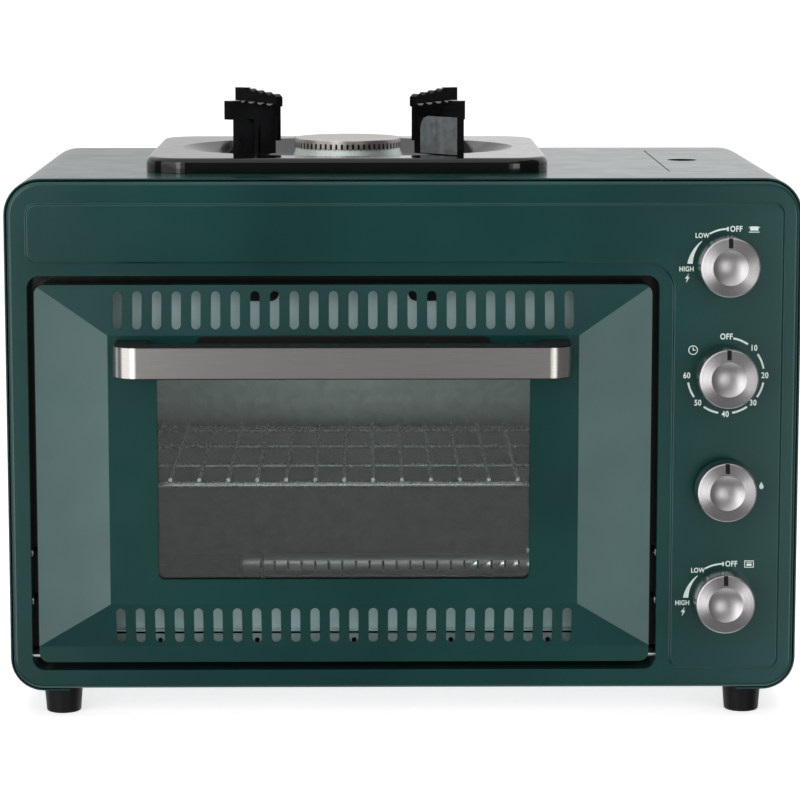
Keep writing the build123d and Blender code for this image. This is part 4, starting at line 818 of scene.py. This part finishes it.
notch_corner = ring_points(notch_round, 270, 360, 9, (notch_right - notch_round, notch_foot + notch_round))
notch = [(notch_left, notch_top), (notch_left, notch_foot)] + notch_corner + [(notch_right, notch_top)]
mirrored_notch = [(-x, y) for x, y in reversed(notch)]
holes += [slab(outline, notch_place, 0.1) for outline in (notch, mirrored_notch)]
add_piece("door_shades", "door", finishes["black_plastic"], holes)

# %% [markdown]
# ## Floor, world and lamps
# The photograph is a studio cut-out on white. Three soft lamps light the oven from the left, the right and above. What
# the paint and the metal mirror is a drum of plain cards round the oven, which only mirrors and glass see: the door's
# side bevels and the handle's bent ends mirror the pale cards left and right of the camera, and the dark ones between
# and beyond them keep the flat paint dark and the handle's face grey. The world is plain white to the camera, while it
# lights the oven as a weaker grey.

# %% A sheet of white paper as floor and backdrop
def seen_directly(tree):
    """One for rays from the camera, from mirrors and from glass, nought for spread light."""
    ray = add_node(tree, "ShaderNodeLightPath").outputs
    seen = ray["Is Camera Ray"]
    for kind in ("Is Glossy Ray", "Is Transmission Ray"):
        seen = add_node(tree, "ShaderNodeMath", {0: seen, 1: ray[kind]}, operation="MAXIMUM").outputs["Value"]
    return seen


half, back, rise = 6.0, 4.0, 5.0
corners = [(-half, -half, 0), (half, -half, 0), (half, back, 0), (-half, back, 0)]
corners += [(-half, back + 1, rise), (half, back + 1, rise)]
sweep_mesh = bpy.data.meshes.new("paper_sweep")
sweep_mesh.from_pydata(corners, [], [(0, 1, 2, 3), (3, 2, 5, 4)])
paper, paper_tree, paper_surface, paper_place = new_finish(
    "studio_paper_white", Roughness=0.9, Specular_IOR_Level=0.1
)
fibres = vary(paper_tree, grain(paper_tree, paper_place, 300 * mm), 0, 1)
paper_tree.links.new(tint(paper_tree, fibres, "#F6F6F6", "#FAFAFA"), paper_surface.inputs["Base Color"])
lift = add_node(paper_tree, "ShaderNodeMath", {0: seen_directly(paper_tree), 1: 0.6}, operation="MULTIPLY")
glow = add_node(paper_tree, "ShaderNodeEmission", {"Color": (1, 1, 1, 1), "Strength": lift.outputs["Value"]})
lifted = add_node(paper_tree, "ShaderNodeAddShader", {0: paper_surface.outputs["BSDF"], 1: glow.outputs["Emission"]})
paper_tree.links.new(lifted.outputs["Shader"], paper_tree.nodes["Material Output"].inputs["Surface"])
sweep_mesh.materials.append(paper)
sweep = put("paper_sweep", sweep_mesh)
sweep.visible_glossy = False

# %% The world, white to the eye, to mirrors and to glass, grey as a light
world = bpy.data.worlds.new("studio")
bpy.context.scene.world = world
world.use_nodes = True
sky = world.node_tree
strength = add_node(sky, "ShaderNodeMapRange", {"Value": seen_directly(sky), "To Min": 0.45, "To Max": 1.0})
sky.nodes["Background"].inputs["Color"].default_value = (1, 1, 1, 1)
sky.links.new(strength.outputs["Result"], sky.nodes["Background"].inputs["Strength"])

# %% A drum of cards round the oven, which only mirrors and glass see
drum_radius = 3.0


def card(name, start, end, low, high, radiance):
    """A part of the drum, from start to end in degrees, where 0 is in front of the oven and 90 at its right."""
    steps = max(2, round((end - start) / 5))
    angles = [math.radians(start + (end - start) * i / steps) for i in range(steps + 1)]
    corners = [(drum_radius * math.sin(a), -drum_radius * math.cos(a), z) for a in angles for z in (low, high)]
    faces = [(2 * i, 2 * i + 2, 2 * i + 3, 2 * i + 1) for i in range(steps)]
    mesh = bpy.data.meshes.new(name)
    mesh.from_pydata(corners, [], faces)
    paint = bpy.data.materials.new(name)
    paint.use_nodes = True
    tree = paint.node_tree
    light = add_node(tree, "ShaderNodeEmission", {"Color": (1, 1, 1, 1), "Strength": radiance})
    tree.links.new(light.outputs["Emission"], tree.nodes["Material Output"].inputs["Surface"])
    mesh.materials.append(paint)
    piece = put(name, mesh)
    piece.visible_camera = piece.visible_diffuse = piece.visible_shadow = False


for name, start, end, low, high, radiance in (
    ("middle", -10.5, 10.5, -0.8, 1.5, 0.15),
    ("left_edge", -18.5, -10.5, -0.8, 2.0, 1.0),
    ("left", -29, -18.5, -0.8, 2.0, 4.0),
    ("left_wide", -75, -29, -0.8, 2.0, 1.6),
    ("left_dark", -100, -75, -0.8, 2.0, 0.15),
    ("right_edge", 10.5, 16, -0.8, 0.3, 1.0),
    ("right", 16, 34, -0.8, 0.3, 2.9),
    ("right_high", 10.5, 34, 0.3, 2.0, 0.25),
    ("right_dark", 34, 100, -0.8, 3.3, 0.12),
    ("low", -100, 100, -3.5, -0.8, 0.2),
    ("back_right", 100, 180, -1.0, 2.0, 0.9),
    ("back_left", 180, 260, -1.0, 2.0, 0.7),
):
    card("card_" + name, start, end, low, high, radiance)

# %% Soft lamps
oven_middle = Vector((0, 0, 0.3))


def softbox(name, place, width, length, radiance):
    """A flat area lamp of a given brightness that shines on the oven; mirrors see the cards instead of it."""
    lamp = bpy.data.lights.new(name, "AREA")
    lamp.shape, lamp.size, lamp.size_y = "RECTANGLE", width, length
    lamp.energy = radiance * math.pi * width * length
    holder = put(name, lamp)
    holder.location = place
    holder.visible_glossy = False
    holder.rotation_euler = (oven_middle - Vector(place)).to_track_quat("-Z", "Y").to_euler()


softbox("left_lamp", (-1.15, -1.5, 0.3), 1.1, 2.0, 3.0)
softbox("right_lamp", (1.15, -1.5, 0.3), 1.1, 2.0, 2.2)
softbox("top_lamp", (0.0, -0.4, 2.0), 1.6, 1.0, 3.0)

# %% [markdown]
# ## Camera
# The photograph looks down on the oven from two metres in front with a long lens, a little left of the middle.

# %% Camera
tilt_down, turn_right = math.radians(8.336), math.radians(0.608)
lens = bpy.data.cameras.new("camera")
lens.lens = 145.4
camera = put("camera", lens)
camera.location = (-0.0235, -2.1345, 0.501)
camera.rotation_euler = (math.radians(90) - tilt_down, 0, -turn_right)
bpy.context.scene.camera = camera
bpy.context.scene.view_settings.view_transform = "Standard"
